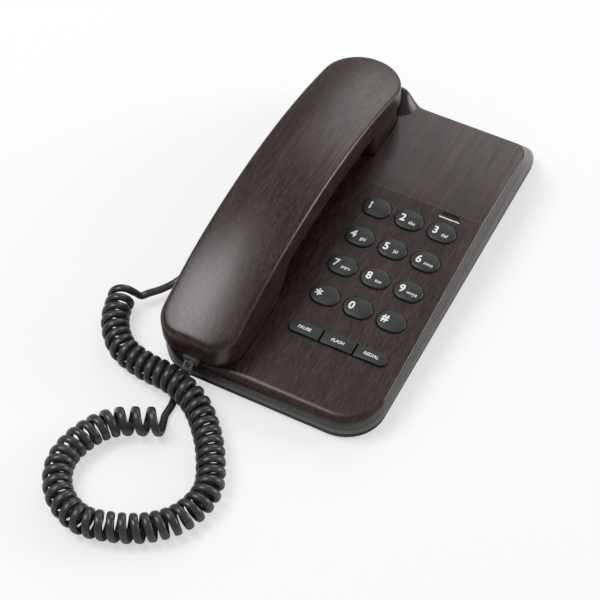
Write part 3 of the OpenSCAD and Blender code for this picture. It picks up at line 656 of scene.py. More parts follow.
# height of the rear panel, and of the seam between the cover and the grey band
def rearPanelZ(y):
    return creaseZ - (y - creaseY) * rearSlope


def bandZ(y):
    return b["bandFront"] + (y - baseFront) * math.tan(math.radians(b["bandTilt"]))


def basePlan(inset):
    half = b["width"] / 2 - inset
    return roundedPlan(-half, half, baseFront + inset, baseRear - inset,
                       b["frontCorner"] - inset, b["rearCorner"] - inset)


# end of the bend over the rear wall's foot, and where the leaning wall meets a line, both as (y, z)
def bendEnd(inset):
    r, lean = b["bendRadius"] - inset, math.radians(b["lean"])
    return baseRear - b["bendRadius"] + r * math.cos(lean), b["bendZ"] + r * math.sin(lean)


def onRearWall(inset, z, rise):
    y0, z0 = bendEnd(inset)
    lean = math.radians(b["lean"])
    t = (z - z0) / (math.cos(lean) + math.sin(lean) * math.tan(math.radians(rise)))
    return y0 - t * math.sin(lean), z0 + t * math.cos(lean)


# side profile of the base down to the table, with a square front edge, as (y, z)
def baseProfile(inset):
    drop = inset / math.cos(math.radians(b["panelTilt"]))
    front = baseFront + inset
    wallTop = onRearWall(inset, rearPanelZ(bendEnd(inset)[0]) - drop, -b["rearTilt"])
    bend = arc(baseRear - b["bendRadius"], b["bendZ"], b["bendRadius"] - inset, b["lean"], 0, 14)
    panelStart = (front, b["panelFront"] + inset * panelSlope - drop)
    return [(front, 0), panelStart, (creaseY, creaseZ - drop), wallTop] + bend + [(baseRear - inset, 0)]


# a block that follows the leaning rear wall, its corners rounded along the lean
def leanBlock(inset):
    half = b["width"] / 2 - inset
    plan = roundedPlan(-half, half, -300, 0, 1, b["rearCorner"] - inset)
    block = extrudeOutline("leanBlock", plan, -60, 240)
    y, z = bendEnd(inset)
    return moveMesh(block, Matrix.Translation(Vector((0, y, z)) * mm)
                    @ Matrix.Rotation(math.radians(b["lean"]), 4, "X"))


# the whole base as one solid; inset makes its cavity
def baseSolid(name, inset):
    solid = extrudeOutline(name, basePlan(inset), -1, 60)
    combine(solid, extrudeSideways("cutter", baseProfile(inset), -100, 100), "INTERSECT")
    return combine(solid, leanBlock(inset), "INTERSECT")


# merges the vertices that lie within a distance in millimetres
def mergeClose(piece, distance=0.01):
    editAll(piece)
    bpy.ops.mesh.remove_doubles(threshold=distance * mm)
    leaveEdit()


# the mouth block's curved side towards the grip, grown outwards
def mouthSide(grow, count=12):
    foot, bend, top = Vector(h["mouthFoot"]), Vector(h["mouthBend"]), Vector(h["mouthTop"])
    points = []
    for i in range(count + 1):
        t = i / count
        p = (1 - t) ** 2 * foot + 2 * t * (1 - t) * bend + t * t * top
        d = 2 * (1 - t) * (bend - foot) + 2 * t * (top - bend)
        n = Vector((d[1], -d[0])).normalized()
        points.append(tuple(p + n * grow))
    return points


# a block under the handset, cut to its side profile and moved to its place
def cutBlock(name, plan, profile):
    block = extrudeOutline(name, plan, -10, 60)
    combine(block, extrudeSideways("cutter", profile, -40, 40), "INTERSECT")
    return moveMesh(block, handsetPlace)


# the handset's mouth and ear blocks, grown outwards, to cut pockets and make their walls
def mouthBlock(name, grow, top):
    front, half = mouthFront - grow, halfW - h["blockInset"] + grow
    profile = [(front - 1, top), (front - 1, -grow)] + mouthSide(grow) + [(h["mouthTop"][0] + grow, top)]
    plan = roundedPlan(-half, half, front, -20, h["mouthCorner"] - 1 + grow, 1)
    return cutBlock(name, plan, profile)


def earBlock(name, grow, top):
    rear, half = earRear + grow, halfW - h["blockInset"] + grow
    inner, lean = h["earInner"], h["earLean"]
    profile = [(inner - lean - grow, top), (inner + lean - grow, -grow), (rear + 1, -grow), (rear + 1, top)]
    plan = roundedPlan(-half, half, 30, rear, 1, h["earCorner"] - 1.5 + grow)
    return cutBlock(name, plan, profile)


def smoothStep(t):
    return t * t * (3 - 2 * t)


def clampStep(t):
    return smoothStep(min(1, max(0, t)))


# the lower of two heights, with a smooth passage of the given width between them
def softLower(first, second, blend):
    share = min(1, max(0, 0.5 + 0.5 * (second - first) / blend))
    return second + (first - second) * share - blend * share * (1 - share)


# raised shoulder behind the receiver's end
shoulderValues = {
    "topZ": 39.5,
    "footX": -3.5,
    "topX": -16.0,
    "leftFlank": 15.0,
    "rearY": 15.5,
    "length": 15.0,
    "frontBlend": 11.0,
    "rearBlend": 2.0,
    "sink": 0.03,  # inside the cover's walls
    "wallSink": 0.1,
    "frontSink": 0.4,
    "footSink": 0.6,
    "under": 6.0,
    "margin": 1.0,
    "columns": 66,
    "rows": 40,
}


# a surface of heights over a grid, closed below
def makeShoulder():
    v = shoulderValues
    rearY = baseRear - v["rearY"]
    frontY = rearY - v["length"]
    footZ = rearPanelZ(baseRear) - v["footSink"]
    rise = v["topZ"] - footZ
    wallY, wallZ = onRearWall(0, bandZ(bendEnd(0)[0]), b["bandTilt"])
    wallSlope = math.tan(math.radians(b["lean"]))
    lowFront = rearPanelZ(frontY) - v["frontSink"]
    left, right = -b["width"] / 2 + v["sink"], v["footX"] + v["margin"]
    front, rear = frontY - v["margin"], wallY - v["wallSink"]
    underFront, underRear = rearPanelZ(baseRear) - v["under"], wallZ - v["footSink"]
    clearSelection()
    bpy.ops.mesh.primitive_grid_add(x_subdivisions=v["columns"], y_subdivisions=v["rows"], size=1)
    shoulder = bpy.context.object
    shoulder.name = "shoulder"
    editAll(shoulder)
    bpy.ops.mesh.extrude_region_move(TRANSFORM_OT_translate={"value": (0, 0, -1)})
    leaveEdit()
    for vertex in shoulder.data.vertices:
        x = left + (vertex.co[0] + 0.5) * (right - left)
        y = front + (vertex.co[1] + 0.5) * (rear - front)
        if vertex.co[2] < -0.5:
            z = underFront + (underRear - underFront) * (y - front) / (rear - front)
        else:
            rightFlank = clampStep((v["footX"] - x) / (v["footX"] - v["topX"]))
            side = min(rightFlank, clampStep((x - left) / v["leftFlank"]))
            slope = lowFront + (v["topZ"] - lowFront) * clampStep((y - frontY) / v["length"])
            plainWall = wallZ + (wallY - y) / wallSlope - v["wallSink"]
            steepWall = wallZ + (wallY - y) / (wallY - rearY) * (v["topZ"] - wallZ)
            z = softLower(footZ + rise * side, slope, v["frontBlend"])
            z = softLower(z, plainWall + (steepWall - plainWall) * side, v["rearBlend"])
        vertex.co = (x * mm, y * mm, z * mm)
    editAll(shoulder)
    faceOutwards()
    return combine(shoulder, extrudeOutline("cutter", basePlan(v["sink"]), 0, 60), "INTERSECT")


# the slab's arches run along Y: radius of the one that lies mid below the rim halfway, and end at both ends
def archRadius(mid, end):
    sag = h["rimMid"] - mid - h["rimEnd"] + end
    return (halfL ** 2 + sag ** 2) / (2 * sag)


# everything within 60 mm under an arch, spun about the arch's axis
def underArch(name, mid, end, width=90.0, steps=92, span=23.0):
    half = width / 2
    r = archRadius(mid, end)
    outline = [(r - 60, half), (r - 60, -half), (r, -half), (r, half)]
    clearSelection()
    bpy.ops.mesh.primitive_circle_add(vertices=len(outline), radius=1, fill_type="NGON")
    layer = bpy.context.object
    layer.name = name
    start = math.radians(-span)
    centreZ = (h["rimMid"] - mid - r) * mm
    for vertex, (reach, v) in zip(layer.data.vertices, outline):
        vertex.co = (v * mm, reach * mm * math.sin(start), centreZ + reach * mm * math.cos(start))
    editAll(layer)
    bpy.ops.mesh.spin(steps=steps, angle=math.radians(2 * span), center=(0, 0, centreZ), axis=(1, 0, 0))
    bpy.ops.mesh.select_all(action="SELECT")
    bpy.ops.mesh.remove_doubles(threshold=0.001 * mm)
    faceOutwards()
    return layer


def handsetPlan(inset):
    return roundedPlan(-halfW + inset, halfW - inset, -halfL + inset, halfL - inset,
                       h["mouthCorner"] - inset, h["earCorner"] - inset, 24)


# keys: X across the base, S up the key panel from the base's front
keyValues = {
    "midX": 25.4,
    "pitchX": 19.0,
    "pitchS": 20.58,
    "starRowS": 64.6,
    "width": 16.2,
    "depth": 12.0,
    "rise": 1.6,
    "funcRowS": 41.4,
    "funcTotal": 55.8,
    "funcDepth": 7.4,
    "funcGap": 0.9,
    "gap": 0.35,
    "edgeRound": 0.8,
    "roundSteps": 5,
    "flangeRim": 1.2,
    "flangeGap": 0.3,  # under the cover's wall
    "flangeThickness": 1.0,
    "flangeOverlap": 0.4,
    "grid": 1.0,
    "domeRadius": 42.0,
    "funcDomeRadius": 60.0,
    "funcEdgeRound": 0.45,
    "funcCorner": 0.6,
    "funcFlangeRim": 1.0,
}
k = keyValues


# the cover's rim, the slanted ends of its cavity and tubs, and its openings: the lens's as a size and a place
# on the key panel, the jacks' as two opposite corners
coverValues = {
    "rimSteps": 6,
    "rimAngle": 30.0,
    "cavityCut": (7.5, 12.0),  # y behind the front and z of a cut that keeps the front rim solid
    "cavityNormal": (0, -0.8, 0.6),
    "tubInset": 0.6,
    "tubCut": (4.0, 13.0),
    "tubNormal": (0, -0.75, 0.66),
    "lensSize": (9.6, 2.0),
    "lensPlace": (44.2, 138.6),
    "baseJack": ((-66, -64.1, 4.0), (-58, -51.7, 13.2)),
    "lineJack": ((13.3, 98, 4.8), (26.7, 115, 17.2)),
}


# rounds the rim of the solid cover: wide along the front, narrow along the sides and the rear
def roundRim(cover):
    takeUp(cover)
    weights = cover.data.attributes.new("bevel_weight_edge", "FLOAT", "EDGE")
    normals = {}
    for polygon in cover.data.polygons:
        for key in polygon.edge_keys:
            normals.setdefault(key, []).append(polygon.normal)
    cornerEnd = baseFront + b["frontCorner"]
    fullWidth = 10  # of which each edge's weight takes a share
    for edge in cover.data.edges:
        ends = [cover.data.vertices[i].co / mm for i in edge.vertices]
        sides = normals[tuple(sorted(edge.vertices))]
        tops = [min(b["panelFront"] + (e[1] - baseFront) * panelSlope, rearPanelZ(e[1])) for e in ends]
        onTop = all(abs(e[2] - top) < 0.05 for e, top in zip(ends, tops))
        if not onTop or sides[0].angle(sides[1]) < math.radians(coverValues["rimAngle"]):
            continue
        width = b["sideRoll"]
        middleY = (ends[0][1] + ends[1][1]) / 2
        if middleY < cornerEnd:
            width += (b["frontRoll"] - b["sideRoll"]) * smoothStep((cornerEnd - middleY) / b["frontCorner"])
        weights.data[edge.index].value = width / fullWidth
    applyModifier(cover, "BEVEL", width=fullWidth * mm, segments=coverValues["rimSteps"],
                  limit_method="WEIGHT", use_clamp_overlap=False)


# the base's solid without what lies in front of a slanted cut
def cutSolid(name, inset, at, normal):
    solid = baseSolid(name, inset)
    slicePiece(solid, Vector((0, baseFront + at[0], at[1])) * mm, Vector(normal))
    return solid


# everything that is cut through the key panel
def cutWells(cover):
    wells = []
    for col in (-1, 0, 1):
        for row in range(4):
            wells.append((stadium(k["width"] + 2 * k["gap"], k["depth"] + 2 * k["gap"]),
                          k["midX"] + col * k["pitchX"], k["starRowS"] + row * k["pitchS"]))
    wells.append((stadium(k["funcTotal"] + 2 * k["gap"], k["funcDepth"] + 2 * k["gap"]),
                  k["midX"], k["funcRowS"]))
    wells.append((stadium(*coverValues["lensSize"]), *coverValues["lensPlace"]))
    for outline, x, s in wells:
        well = extrudeOutline("well", [(x + px, s + py) for px, py in outline], -7, 8)
        combine(cover, moveMesh(well, panelPlace), "DIFFERENCE")


# a box between two opposite corners
def makeBox(low, high):
    clearSelection()
    bpy.ops.mesh.primitive_cube_add(size=1)
    box = bpy.context.object
    size = Vector(high) - Vector(low)
    middle = (Vector(high) + Vector(low)) / 2
    return moveMesh(box, Matrix.Translation(middle * mm) @ Matrix.Diagonal((*(size * mm), 1)))


def makeCover():
    v = coverValues
    cover = baseSolid("topCover", 0)
    bandTilt = math.radians(b["bandTilt"])
    bandNormal = Vector((0, -math.sin(bandTilt), math.cos(bandTilt)))
    slicePiece(cover, Vector((0, baseFront, b["bandFront"])) * mm, bandNormal, keepBelow=False)
    mergeClose(cover)
    roundRim(cover)
    combine(cover, cutSolid("cavity", b["wall"], v["cavityCut"], v["cavityNormal"]), "DIFFERENCE")
    combine(cover, makeShoulder(), "UNION")
    for makeBlock in (mouthBlock, earBlock):
        tub = makeBlock("tub", k["gap"] + b["wall"], 30)
        combine(tub, cutSolid("solid", v["tubInset"], v["tubCut"], v["tubNormal"]), "INTERSECT")
        combine(cover, tub, "UNION")
    for makeBlock in (mouthBlock, earBlock):
        combine(cover, makeBlock("pocket", k["gap"], 50), "DIFFERENCE")
    above = extrudeOutline("above", handsetPlan(-0.6), 0.5, 60)
    combine(above, underArch("cutter", h["slab"] + k["gap"], h["slabEnd"] + k["gap"]), "DIFFERENCE")
    combine(cover, moveMesh(above, handsetPlace), "DIFFERENCE")
    cutWells(cover)
    outline = arc(0, h["plungerY"], h["plungerHole"], 0, 360, 36)[:-1]
    combine(cover, moveMesh(extrudeOutline("plungerHole", outline, -8, 4), handsetPlace), "DIFFERENCE")
    for low, high in (v["baseJack"], v["lineJack"]):
        combine(cover, makeBox(low, high), "DIFFERENCE")
    mergeClose(cover, 0.005)
    smoothByArea(cover, 32)
    place(cover, "base", "brown_shell", ["top_cover"], brownShell)
    print("cover made,", len(cover.data.polygons), "faces")


makeCover()


# the cord's grey sleeve under the handset's plug; its route is in metres
sleeveValues = {
    "width": 5.0,
    "thickness": 3.0,
    "cornerRound": 1.2,
    "steps": 10,
    "route": [(-0.0368, -0.1137, 0.0168), (-0.0374, -0.1140, 0.0130), (-0.0381, -0.1138, 0.0088)],
}


# a straight bar of its length, laid along its route
def makeSleeve():
    v = sleeveValues
    route = [plugFace] + [Vector(p) for p in v["route"]]
    last = len(route) - 1
    length = (route[-1] - plugFace).length
    plan = roundedPlan(-v["width"] / 2, v["width"] / 2, -v["thickness"] / 2, v["thickness"] / 2,
                       v["cornerRound"], v["cornerRound"], 4)
    sleeve = extrudeOutline("leadSleeve", plan, 0, length / mm)
    takeUp(sleeve)
    bpy.ops.object.mode_set(mode="EDIT")
    for i in range(1, v["steps"]):
        bpy.ops.mesh.select_all(action="SELECT")
        bpy.ops.mesh.bisect(plane_co=(0, 0, length * i / v["steps"]), plane_no=(0, 0, 1))
    leaveEdit()
    for vertex in sleeve.data.vertices:
        t = vertex.co[2] / length * last
        centre = curvePoint(route, min(t, last))
        ahead = (curvePoint(route, min(t + 0.05, last)) - curvePoint(route, max(t - 0.05, 0))).normalized()
        across = ahead.cross(Vector((0, 1, 0.2))).normalized()
        outward = across.cross(ahead)
        vertex.co = centre + across * vertex.co[0] + outward * vertex.co[1]
    editAll(sleeve)
    faceOutwards()
    smoothPiece(sleeve, 40)
    place(sleeve, "base", "cord_vinyl", [], looks["leadGrey"])
    print("sleeve made")


makeSleeve()


# printed legends of the keys
legendValues = {
    "digitSize": 6.4,
    "starSize": 9.5,
    "digitWeight": 0.17,
    "letterSize": 2.9,
    "functionSize": 2.6,
    "digitAt": (-3.5, 0.0),
    "lettersAt": (2.5, -1.8),
    "letterWeight": 0.03,
    "functionWeight": 0.05,
    "functionSlant": 0.12,
    "proud": 0.05,
    "depth": 0.15,
    "grid": 0.7,
    "curveSteps": 6,
}
legends = {
    "key_1": ("1", ""), "key_2": ("2", "abc"), "key_3": ("3", "def"),
    "key_4": ("4", "ghi"), "key_5": ("5", "jkl"), "key_6": ("6", "mno"),
    "key_7": ("7", "pqrs"), "key_8": ("8", "tuv"), "key_9": ("9", "wxyz"),
    "key_star": ("*", ""), "key_0": ("0", ""), "key_hash": ("#", ""),
}
# column from the middle one and row from the lowest
keyPlaces = {
    "key_1": (-1, 3), "key_2": (0, 3), "key_3": (1, 3),
    "key_4": (-1, 2), "key_5": (0, 2), "key_6": (1, 2),
    "key_7": (-1, 1), "key_8": (0, 1), "key_9": (1, 1),
    "key_star": (-1, 0), "key_0": (0, 0), "key_hash": (1, 0),
}


# cuts a piece on a square grid seen from above, so that it can follow a dome
def cutGrid(piece, spacing):
    spans = []
    for axis, normal in ((0, Vector((1, 0, 0))), (1, Vector((0, 1, 0)))):
        places = [vertex.co[axis] / mm for vertex in piece.data.vertices]
        spans.append((normal, math.ceil(min(places) / spacing), math.floor(max(places) / spacing)))
    takeUp(piece)
    bpy.ops.object.mode_set(mode="EDIT")
    for normal, first, last in spans:
        for i in range(first, last + 1):
            bpy.ops.mesh.select_all(action="SELECT")
            bpy.ops.mesh.bisect(plane_co=normal * i * spacing * mm, plane_no=normal)
    leaveEdit()


# lowers a piece's upper part onto a dome round the Z axis
def followDome(piece, radius, above):
    for vertex in piece.data.vertices:
        x, y, z = vertex.co / mm
        if z > above:
            vertex.co[2] = (z - (x * x + y * y) / (2 * radius)) * mm


# printed letters, laid on the key's dome as a thin closed skin
def makeLegend(text, size, centre, radius, weight=0.0, slant=0.0):
    clearSelection()
    bpy.ops.object.text_add()
    words = bpy.context.object
    words.data.body = text
    words.data.size = size * mm
    words.data.align_x = "CENTER"
    words.data.align_y = "CENTER"
    words.data.offset = weight * mm
    words.data.shear = slant
    words.data.resolution_u = legendValues["curveSteps"]
    bpy.ops.object.convert(target="MESH")
    words = bpy.context.object
    xs = [vertex.co[0] for vertex in words.data.vertices]
    ys = [vertex.co[1] for vertex in words.data.vertices]
    shift = Vector((centre[0] * mm - (min(xs) + max(xs)) / 2, centre[1] * mm - (min(ys) + max(ys)) / 2,
                    (k["rise"] + legendValues["proud"]) * mm))
    moveMesh(words, Matrix.Translation(shift))
    mergeClose(words, 0.002)
    cutGrid(words, legendValues["grid"])
    followDome(words, radius, 0)
    up = sum(polygon.normal[2] * polygon.area for polygon in words.data.polygons)
    if up < 0:
        editAll(words)
        bpy.ops.mesh.flip_normals()
        leaveEdit()
    applyModifier(words, "SOLIDIFY", thickness=legendValues["depth"] * mm, offset=-1.0)
    words.data.materials.clear()
    words.data.materials.append(looks["legendInk"])
    return words


# a key cap on its flange: straight sides, a rounded rim and a low dome
def makeKeyBody(name, outline, flange, rimRound, radius):
    flangeTop = -b["wall"] - k["flangeGap"]
    cap = extrudeOutline(name, outline, flangeTop - k["flangeOverlap"], k["rise"])
    topZ = k["rise"] * mm
    bevelEdges(cap, lambda e: all(abs(v.co[2] - topZ) < 1e-6 for v in e.verts), rimRound, k["roundSteps"])
    cutGrid(cap, k["grid"])
    followDome(cap, radius, 0)
    rim = extrudeOutline("rim", flange, flangeTop - k["flangeThickness"], flangeTop)
    combine(cap, rim, "UNION")
    smoothPiece(cap, 40)
    cap.data.materials.clear()
    cap.data.materials.append(looks["keyPlastic"])
    return cap


# joins the printed words to their key
def addLegends(cap, words):
    clearSelection()
    for word in words:
        word.select_set(True)
    cap.select_set(True)
    bpy.context.view_layer.objects.active = cap
    bpy.ops.object.join()


def makeKeys():
    v = legendValues
    width, depth, rim, radius = k["width"], k["depth"], k["flangeRim"], k["domeRadius"]
    blank = makeKeyBody("blankCap", stadium(width, depth), stadium(width + 2 * rim, depth + 2 * rim),
                        k["edgeRound"], radius)
    for node, (col, row) in keyPlaces.items():
        digit, letters = legends[node]
        cap = bpy.data.objects.new(node + "_cap", blank.data.copy())
        bpy.context.scene.collection.objects.link(cap)
        size = v["starSize"] if digit == "*" else v["digitSize"]
        words = [makeLegend(digit, size, v["digitAt"], radius, v["digitWeight"])]
        if letters:
            words.append(makeLegend(letters, v["letterSize"], v["lettersAt"], radius, v["letterWeight"]))
        addLegends(cap, words)
        at = Vector((k["midX"] + col * k["pitchX"], k["starRowS"] + row * k["pitchS"], 0)) * mm
        moveMesh(cap, panelPlace @ Matrix.Translation(at))
        place(cap, node, "key_plastic", [node], looks["keyPlastic"])
    bpy.data.objects.remove(blank)
    print("dial keys made")


def makeFunctionKeys():
    v = legendValues
    width = (k["funcTotal"] - 2 * k["funcGap"]) / 3
    depth, radius = k["funcDepth"], k["funcDomeRadius"]
    r, small = depth / 2, k["funcCorner"]
    leftEnd = (arc(width / 2 - small, small - r, small, -90, 0, 4)
               + arc(width / 2 - small, r - small, small, 0, 90, 4)
               + arc(r - width / 2, 0, r, 90, 270, 16))
    middle = roundedPlan(-width / 2, width / 2, -r, r, small, small, 4)
    rightEnd = [(-x, -y) for x, y in leftEnd]
    for node, col, outline, word in (("key_pause", -1, leftEnd, "PAUSE"), ("key_flash", 0, middle, "FLASH"),
                                     ("key_redial", 1, rightEnd, "REDIAL")):
        flange = [(x, y * (depth + 2 * k["funcFlangeRim"]) / depth) for x, y in outline]
        cap = makeKeyBody(node + "_cap", outline, flange, k["funcEdgeRound"], radius)
        addLegends(cap, [makeLegend(word, v["functionSize"], (0, 0), radius,
                                    v["functionWeight"], v["functionSlant"])])
        at = Vector((k["midX"] + col * (width + k["funcGap"]), k["funcRowS"], 0)) * mm
        moveMesh(cap, panelPlace @ Matrix.Translation(at))
        place(cap, node, "key_plastic", [node], looks["keyPlastic"])
    print("function keys made")


makeKeys()
makeFunctionKeys()


# the plain white bar printed above key 3, and the fine raised line along the crease between the panels, whose
# lighter brown is a painted highlight along the crease
trimValues = {
    "barHalf": (5.8, 0.3),
    "barPlace": (44.2, 136.1),
    "barLevels": (-0.03, 0.05),
    "lineEnds": (-7.5, 61.2),
    "lineHalf": 0.16,
    "lineLevels": (-0.1, 0.04),
    "lineSink": 0.03,
}


def makeBar():
    v = trimValues
    x, y = v["barHalf"]
    bar = extrudeOutline("printedBar", rectangle(-x, x, -y, y), *v["barLevels"])
    moveMesh(bar, panelPlace @ Matrix.Translation(Vector((*v["barPlace"], 0)) * mm))
    place(bar, "base", "white_plastic", [], looks["legendInk"])


# the raised line at the crease; its lighter brown paints the highlight along the crease edge
def makeCreaseHighlight():
    v = trimValues
    outline = rectangle(*v["lineEnds"], -v["lineHalf"], v["lineHalf"])
    line = extrudeOutline("creaseHighlightLine", outline, *v["lineLevels"])
    moveMesh(line, Matrix.Translation(Vector((0, creaseY, creaseZ - v["lineSink"])) * mm))
    place(line, "base", "brown_shell", [], looks["creaseHighlightBrown"])


makeBar()
makeCreaseHighlight()
print("bar and crease line made")


# how finely the handset is modelled, and where its rings lie
ringValues = {
    "sidePoints": 60,
    "tipPoints": 6,
    "cornerPoints": 20,
    "roundSteps": 7,
    "insideInsets": (16.0, 8.0),
    "backInsets": (4.5, 7.0, 10.0, 13.0, 16.0, 19.0),
    "mouthRoundFrom": 55.0,  # the wider round comes in along the mouth end
    "mouthRoundOver": 40.0,
    "lowerRound": 0.7,
}


# the handset's outline at an inset, with points along its straight sides too
def handsetRing(inset):
    x, y = max(0.0, halfW - inset), halfL - inset
    mouthR, earR = max(0.0, h["mouthCorner"] - inset), max(0.0, h["earCorner"] - inset)
    turn = ringValues["cornerPoints"]
    corners = [
        arc(x - mouthR, mouthR - y, mouthR, -90, 0, turn),
        arc(x - earR, y - earR, earR, 0, 90, turn),
        arc(earR - x, y - earR, earR, 90, 180, turn),
        arc(mouthR - x, mouthR - y, mouthR, 180, 270, turn),
    ]
    points = []
    for i, corner in enumerate(corners):
        points += corner
        start, end = corner[-1], corners[(i + 1) % 4][0]
        count = ringValues["sidePoints" if i % 2 == 0 else "tipPoints"]
        points += [(start[0] + (end[0] - start[0]) * j / count, start[1] + (end[1] - start[1]) * j / count)
                   for j in range(1, count)]
    return points


# height of an arch over the cradle plane, with its crown across the handset
def archHeight(mid, end, crown, x, y):
    r = archRadius(mid, end)
    reach = r
    if crown > 0:
        half = (h["width"] + 1) / 2
        crownR = (half * half + crown * crown) / (2 * crown)
        reach = r + crown - crownR + math.sqrt(crownR ** 2 - x * x)
    return h["rimMid"] - mid - r + math.sqrt(reach ** 2 - y * y)


# the slab's rings, from the middle of its inside over its rim to the middle of its back
def slabRings():
    v = ringValues
    seamMid, seamEnd = h["slab"] - h["splitUp"], h["slabEnd"] - h["splitUp"]
    wall = h["shell"]
    rings = []
    for inset in (halfW, *v["insideInsets"], wall):
        rings.append([(x, y, archHeight(wall, wall, 0, x, y)) for x, y in handsetRing(inset)])
    for inset in (wall, 0.0):
        rings.append([(x, y, archHeight(seamMid, seamEnd, 0, x, y)) for x, y in handsetRing(inset)])
    plain = handsetRing(0.0)
    for i in range(v["roundSteps"] + 1):
        angle = math.pi / 2 * i / v["roundSteps"]
        ring = []
        for j, (x, y) in enumerate(plain):
            wider = clampStep((-y - v["mouthRoundFrom"]) / v["mouthRoundOver"])
            r = h["rimRound"] + (h["mouthRound"] - h["rimRound"]) * wider
            x, y = handsetRing(r * (1 - math.cos(angle)))[j]
            ring.append((x, y, archHeight(0, 0, h["crown"], x, y) - r * (1 - math.sin(angle))))
        rings.append(ring)
    for inset in (*v["backInsets"], halfW):
        rings.append([(x, y, archHeight(0, 0, h["crown"], x, y)) for x, y in handsetRing(inset)])
    return rings


# rings of equally many points, joined into one closed skin whose first and last rings are closed lines
def loftRings(name, rings):
    count = len(rings[0])
    clearSelection()
    bpy.ops.mesh.primitive_circle_add(vertices=count, radius=1, fill_type="NGON")
    piece = bpy.context.object
    piece.name = name
    editAll(piece)
    for _ in rings[1:]:
        bpy.ops.mesh.extrude_region_move(TRANSFORM_OT_translate={"value": (0, 0, 1)})
    leaveEdit()
    start = math.atan2(piece.data.vertices[0].co[1], piece.data.vertices[0].co[0])
    for vertex in piece.data.vertices:
        turn = math.atan2(vertex.co[1], vertex.co[0]) - start
        point = rings[round(vertex.co[2])][round(turn / (2 * math.pi) * count) % count]
        vertex.co = Vector(point) * mm
    bpy.ops.object.mode_set(mode="EDIT")
    bpy.ops.mesh.select_mode(type="FACE")
    bpy.ops.mesh.select_all(action="DESELECT")
    work = bmesh.from_edit_mesh(piece.data)
    for face in work.faces:
        face.select_set(len(face.verts) == count)
    bmesh.update_edit_mesh(piece.data)
    bpy.ops.mesh.delete(type="ONLY_FACE")
    bpy.ops.mesh.select_mode(type="VERT")
    bpy.ops.mesh.select_all(action="SELECT")
    bpy.ops.mesh.remove_doubles(threshold=0.01 * mm)
    bpy.ops.mesh.dissolve_degenerate(threshold=0.005 * mm)
    faceOutwards()
    return piece


# what rounds an upright front corner of the ear block, just under the slab; the round meets the block's faces
def earCornerCutter(side):
    r = h["earFrontRound"]
    x, y = halfW - h["blockInset"] + 0.02, h["earInner"] - h["earLean"] - 0.05
    outline = [(x + 2, y - 2), (x + 2, y + r)] + arc(x - r, y + r, r, 0, -90, 10) + [(x - r, y - 2)]
    if side < 0:
        outline = [(-px, py) for px, py in reversed(outline)]
    cutter = extrudeOutline("cutter", outline, -1, 60)
    combine(cutter, underArch("under", h["slab"] + 0.03, h["slabEnd"] + 0.03), "INTERSECT")
    return moveMesh(cutter, handsetPlace)


def makeHandset():
    upper = loftRings("handsetSlab", slabRings())
    moveMesh(upper, handsetPlace)
    smoothPiece(upper, 40)
    place(upper, "handset", "brown_shell", ["handset_upper_shell"], brownShell)
    print("handset slab made,", len(upper.data.polygons), "faces")
    lower = copyNode("handsetLower", "handset_lower_shell")
    applyModifier(lower, "BEVEL", width=ringValues["lowerRound"] * mm, segments=3, limit_method="ANGLE",
                  angle_limit=math.radians(45), use_clamp_overlap=True)
    for side in (-1, 1):
        combine(lower, earCornerCutter(side), "DIFFERENCE")
    smoothByArea(lower, 35)
    place(lower, "handset", "brown_shell", ["handset_lower_shell"], brownShell)
    print("handset's lower shell made")


makeHandset()


# a CAD node's copy with its edges softened
def softenNode(name, node, body, slotName, material, width):
    piece = copyNode(name, node)
    applyModifier(piece, "BEVEL", width=width * mm, segments=3, limit_method="ANGLE",
                  angle_limit=math.radians(40), use_clamp_overlap=True)
    smoothPiece(piece, 35)
    place(piece, body, slotName, [node], material)


softenNode("frameBand", "middle_frame", "base", "grey_frame", looks["greyFrame"], 0.5)
softenNode("lowerTray", "bottom_shell", "base", "black_shell", looks["blackShell"], 0.4)
print("band and tray made")

nodeLooks = {
    "keypad_mat": "matRubber", "main_board": "circuitBoard", "board_screws": "screwSteel",
    "base_screws": "screwSteel", "rubber_feet": "footRubber", "weight_plate": "plateSteel",
    "ringer": "blackPlastic", "hook_switch": "blackPlastic", "hook_plunger": "whitePlastic",
    "line_jack": "blackPlastic", "base_jack": "blackPlastic", "indicator_lens": "lensPlastic",
    "receiver": "blackPlastic", "microphone": "blackPlastic", "handset_jack": "blackPlastic",
    "handset_weight": "plateSteel", "handset_screws": "screwSteel", "handset_plug": "clearPlug",
    "base_plug": "clearPlug",
}
for node, look in nodeLooks.items():
    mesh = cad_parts[node].data
    mesh.materials.clear()
    mesh.materials.append(looks[look])
print("carried-over pieces dressed")


# floor, lamps and world: places and sizes in metres, powers in watts
studioValues = {
    "floorSize": 8.0,
    "floorColor": 0.86,
    "floorWhite": 0.56,
    "worldStrength": 0.38,
    "keyPower": 15.0,
    "keyPlace": (-0.75, -0.25, 1.45),
    "keySize": 0.75,
    "rearPower": 9.0,
    "rearPlace": (-0.10, 1.5, 1.1),
    "rearSize": 1.1,
    "rimPower": 14.0,
    "rimPlace": (1.4, 0.9, 0.55),
    "rimSize": 0.8,
}


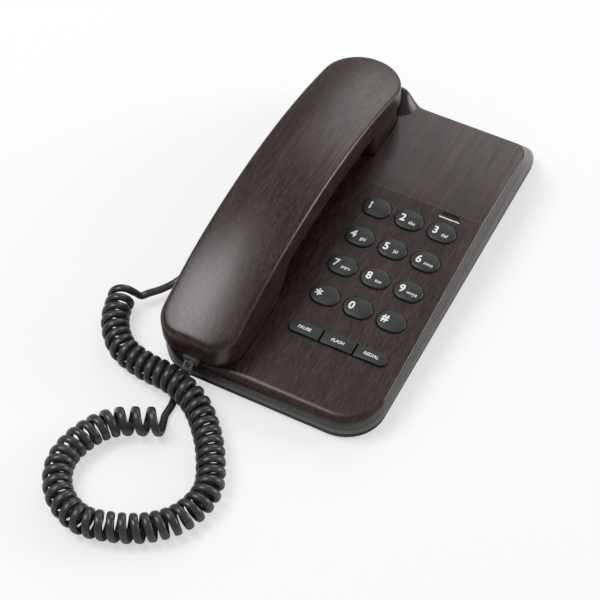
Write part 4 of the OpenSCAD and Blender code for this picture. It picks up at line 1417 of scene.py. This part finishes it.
# diffuse paper that the camera sees partly as white, also through clear plastic, so that it keeps its shadows
def makeFloor():
    clearSelection()
    bpy.ops.mesh.primitive_plane_add(size=studioValues["floorSize"], location=(0, 0, 0))
    floor = bpy.context.object
    floor.name = "studioFloor"
    material, tree, shader = newMaterial("studioPaper")
    noise = addNode(tree, "ShaderNodeTexNoise", {"Scale": 3.0, "Detail": 2.0})
    value = studioValues["floorColor"]
    color = ramp(tree, noise.outputs["Fac"], [(0.3, grey(value * 0.995)), (0.7, grey(value))])
    tree.links.new(color, shader.inputs["Base Color"])
    shader.inputs["Roughness"].default_value = 0.9
    shader.inputs["Specular IOR Level"].default_value = 0.1
    white = addNode(tree, "ShaderNodeEmission", {"Color": (1, 1, 1, 1), "Strength": 1.0})
    path = addNode(tree, "ShaderNodeLightPath")
    seen = addMath(tree, "MAXIMUM", path.outputs["Is Camera Ray"], path.outputs["Is Transmission Ray"])
    share = addMath(tree, "MULTIPLY", seen, studioValues["floorWhite"])
    mixed = addNode(tree, "ShaderNodeMixShader", {0: share, 1: shader.outputs[0], 2: white.outputs[0]})
    tree.links.new(mixed.outputs[0], tree.nodes["Material Output"].inputs["Surface"])
    floor.data.materials.append(material)


# a square soft lamp that looks at the origin
def makeLamp(role):
    name, at = role + "Lamp", studioValues[role + "Place"]
    data = bpy.data.lights.new(name, "AREA")
    data.shape = "SQUARE"
    data.size = studioValues[role + "Size"]
    data.energy = studioValues[role + "Power"]
    lamp = bpy.data.objects.new(name, data)
    bpy.context.scene.collection.objects.link(lamp)
    lamp.location = at
    lamp.rotation_euler = (Vector((0, 0, 0)) - Vector(at)).to_track_quat("-Z", "Y").to_euler()


# white to the camera, softer as light
def makeWorld():
    world = bpy.data.worlds.new("studioWorld")
    world.use_nodes = True
    tree = world.node_tree
    background = tree.nodes["Background"]
    background.inputs[0].default_value = (1, 1, 1, 1)
    path = addNode(tree, "ShaderNodeLightPath")
    strength = mapRange(tree, path.outputs["Is Camera Ray"], 0.0, 1.0, studioValues["worldStrength"], 1.0)
    tree.links.new(strength, background.inputs[1])
    bpy.context.scene.world = world


makeFloor()
for role in ("key", "rear", "rim"):
    makeLamp(role)
makeWorld()
bpy.context.scene.view_settings.view_transform = "Standard"
print("studio set")
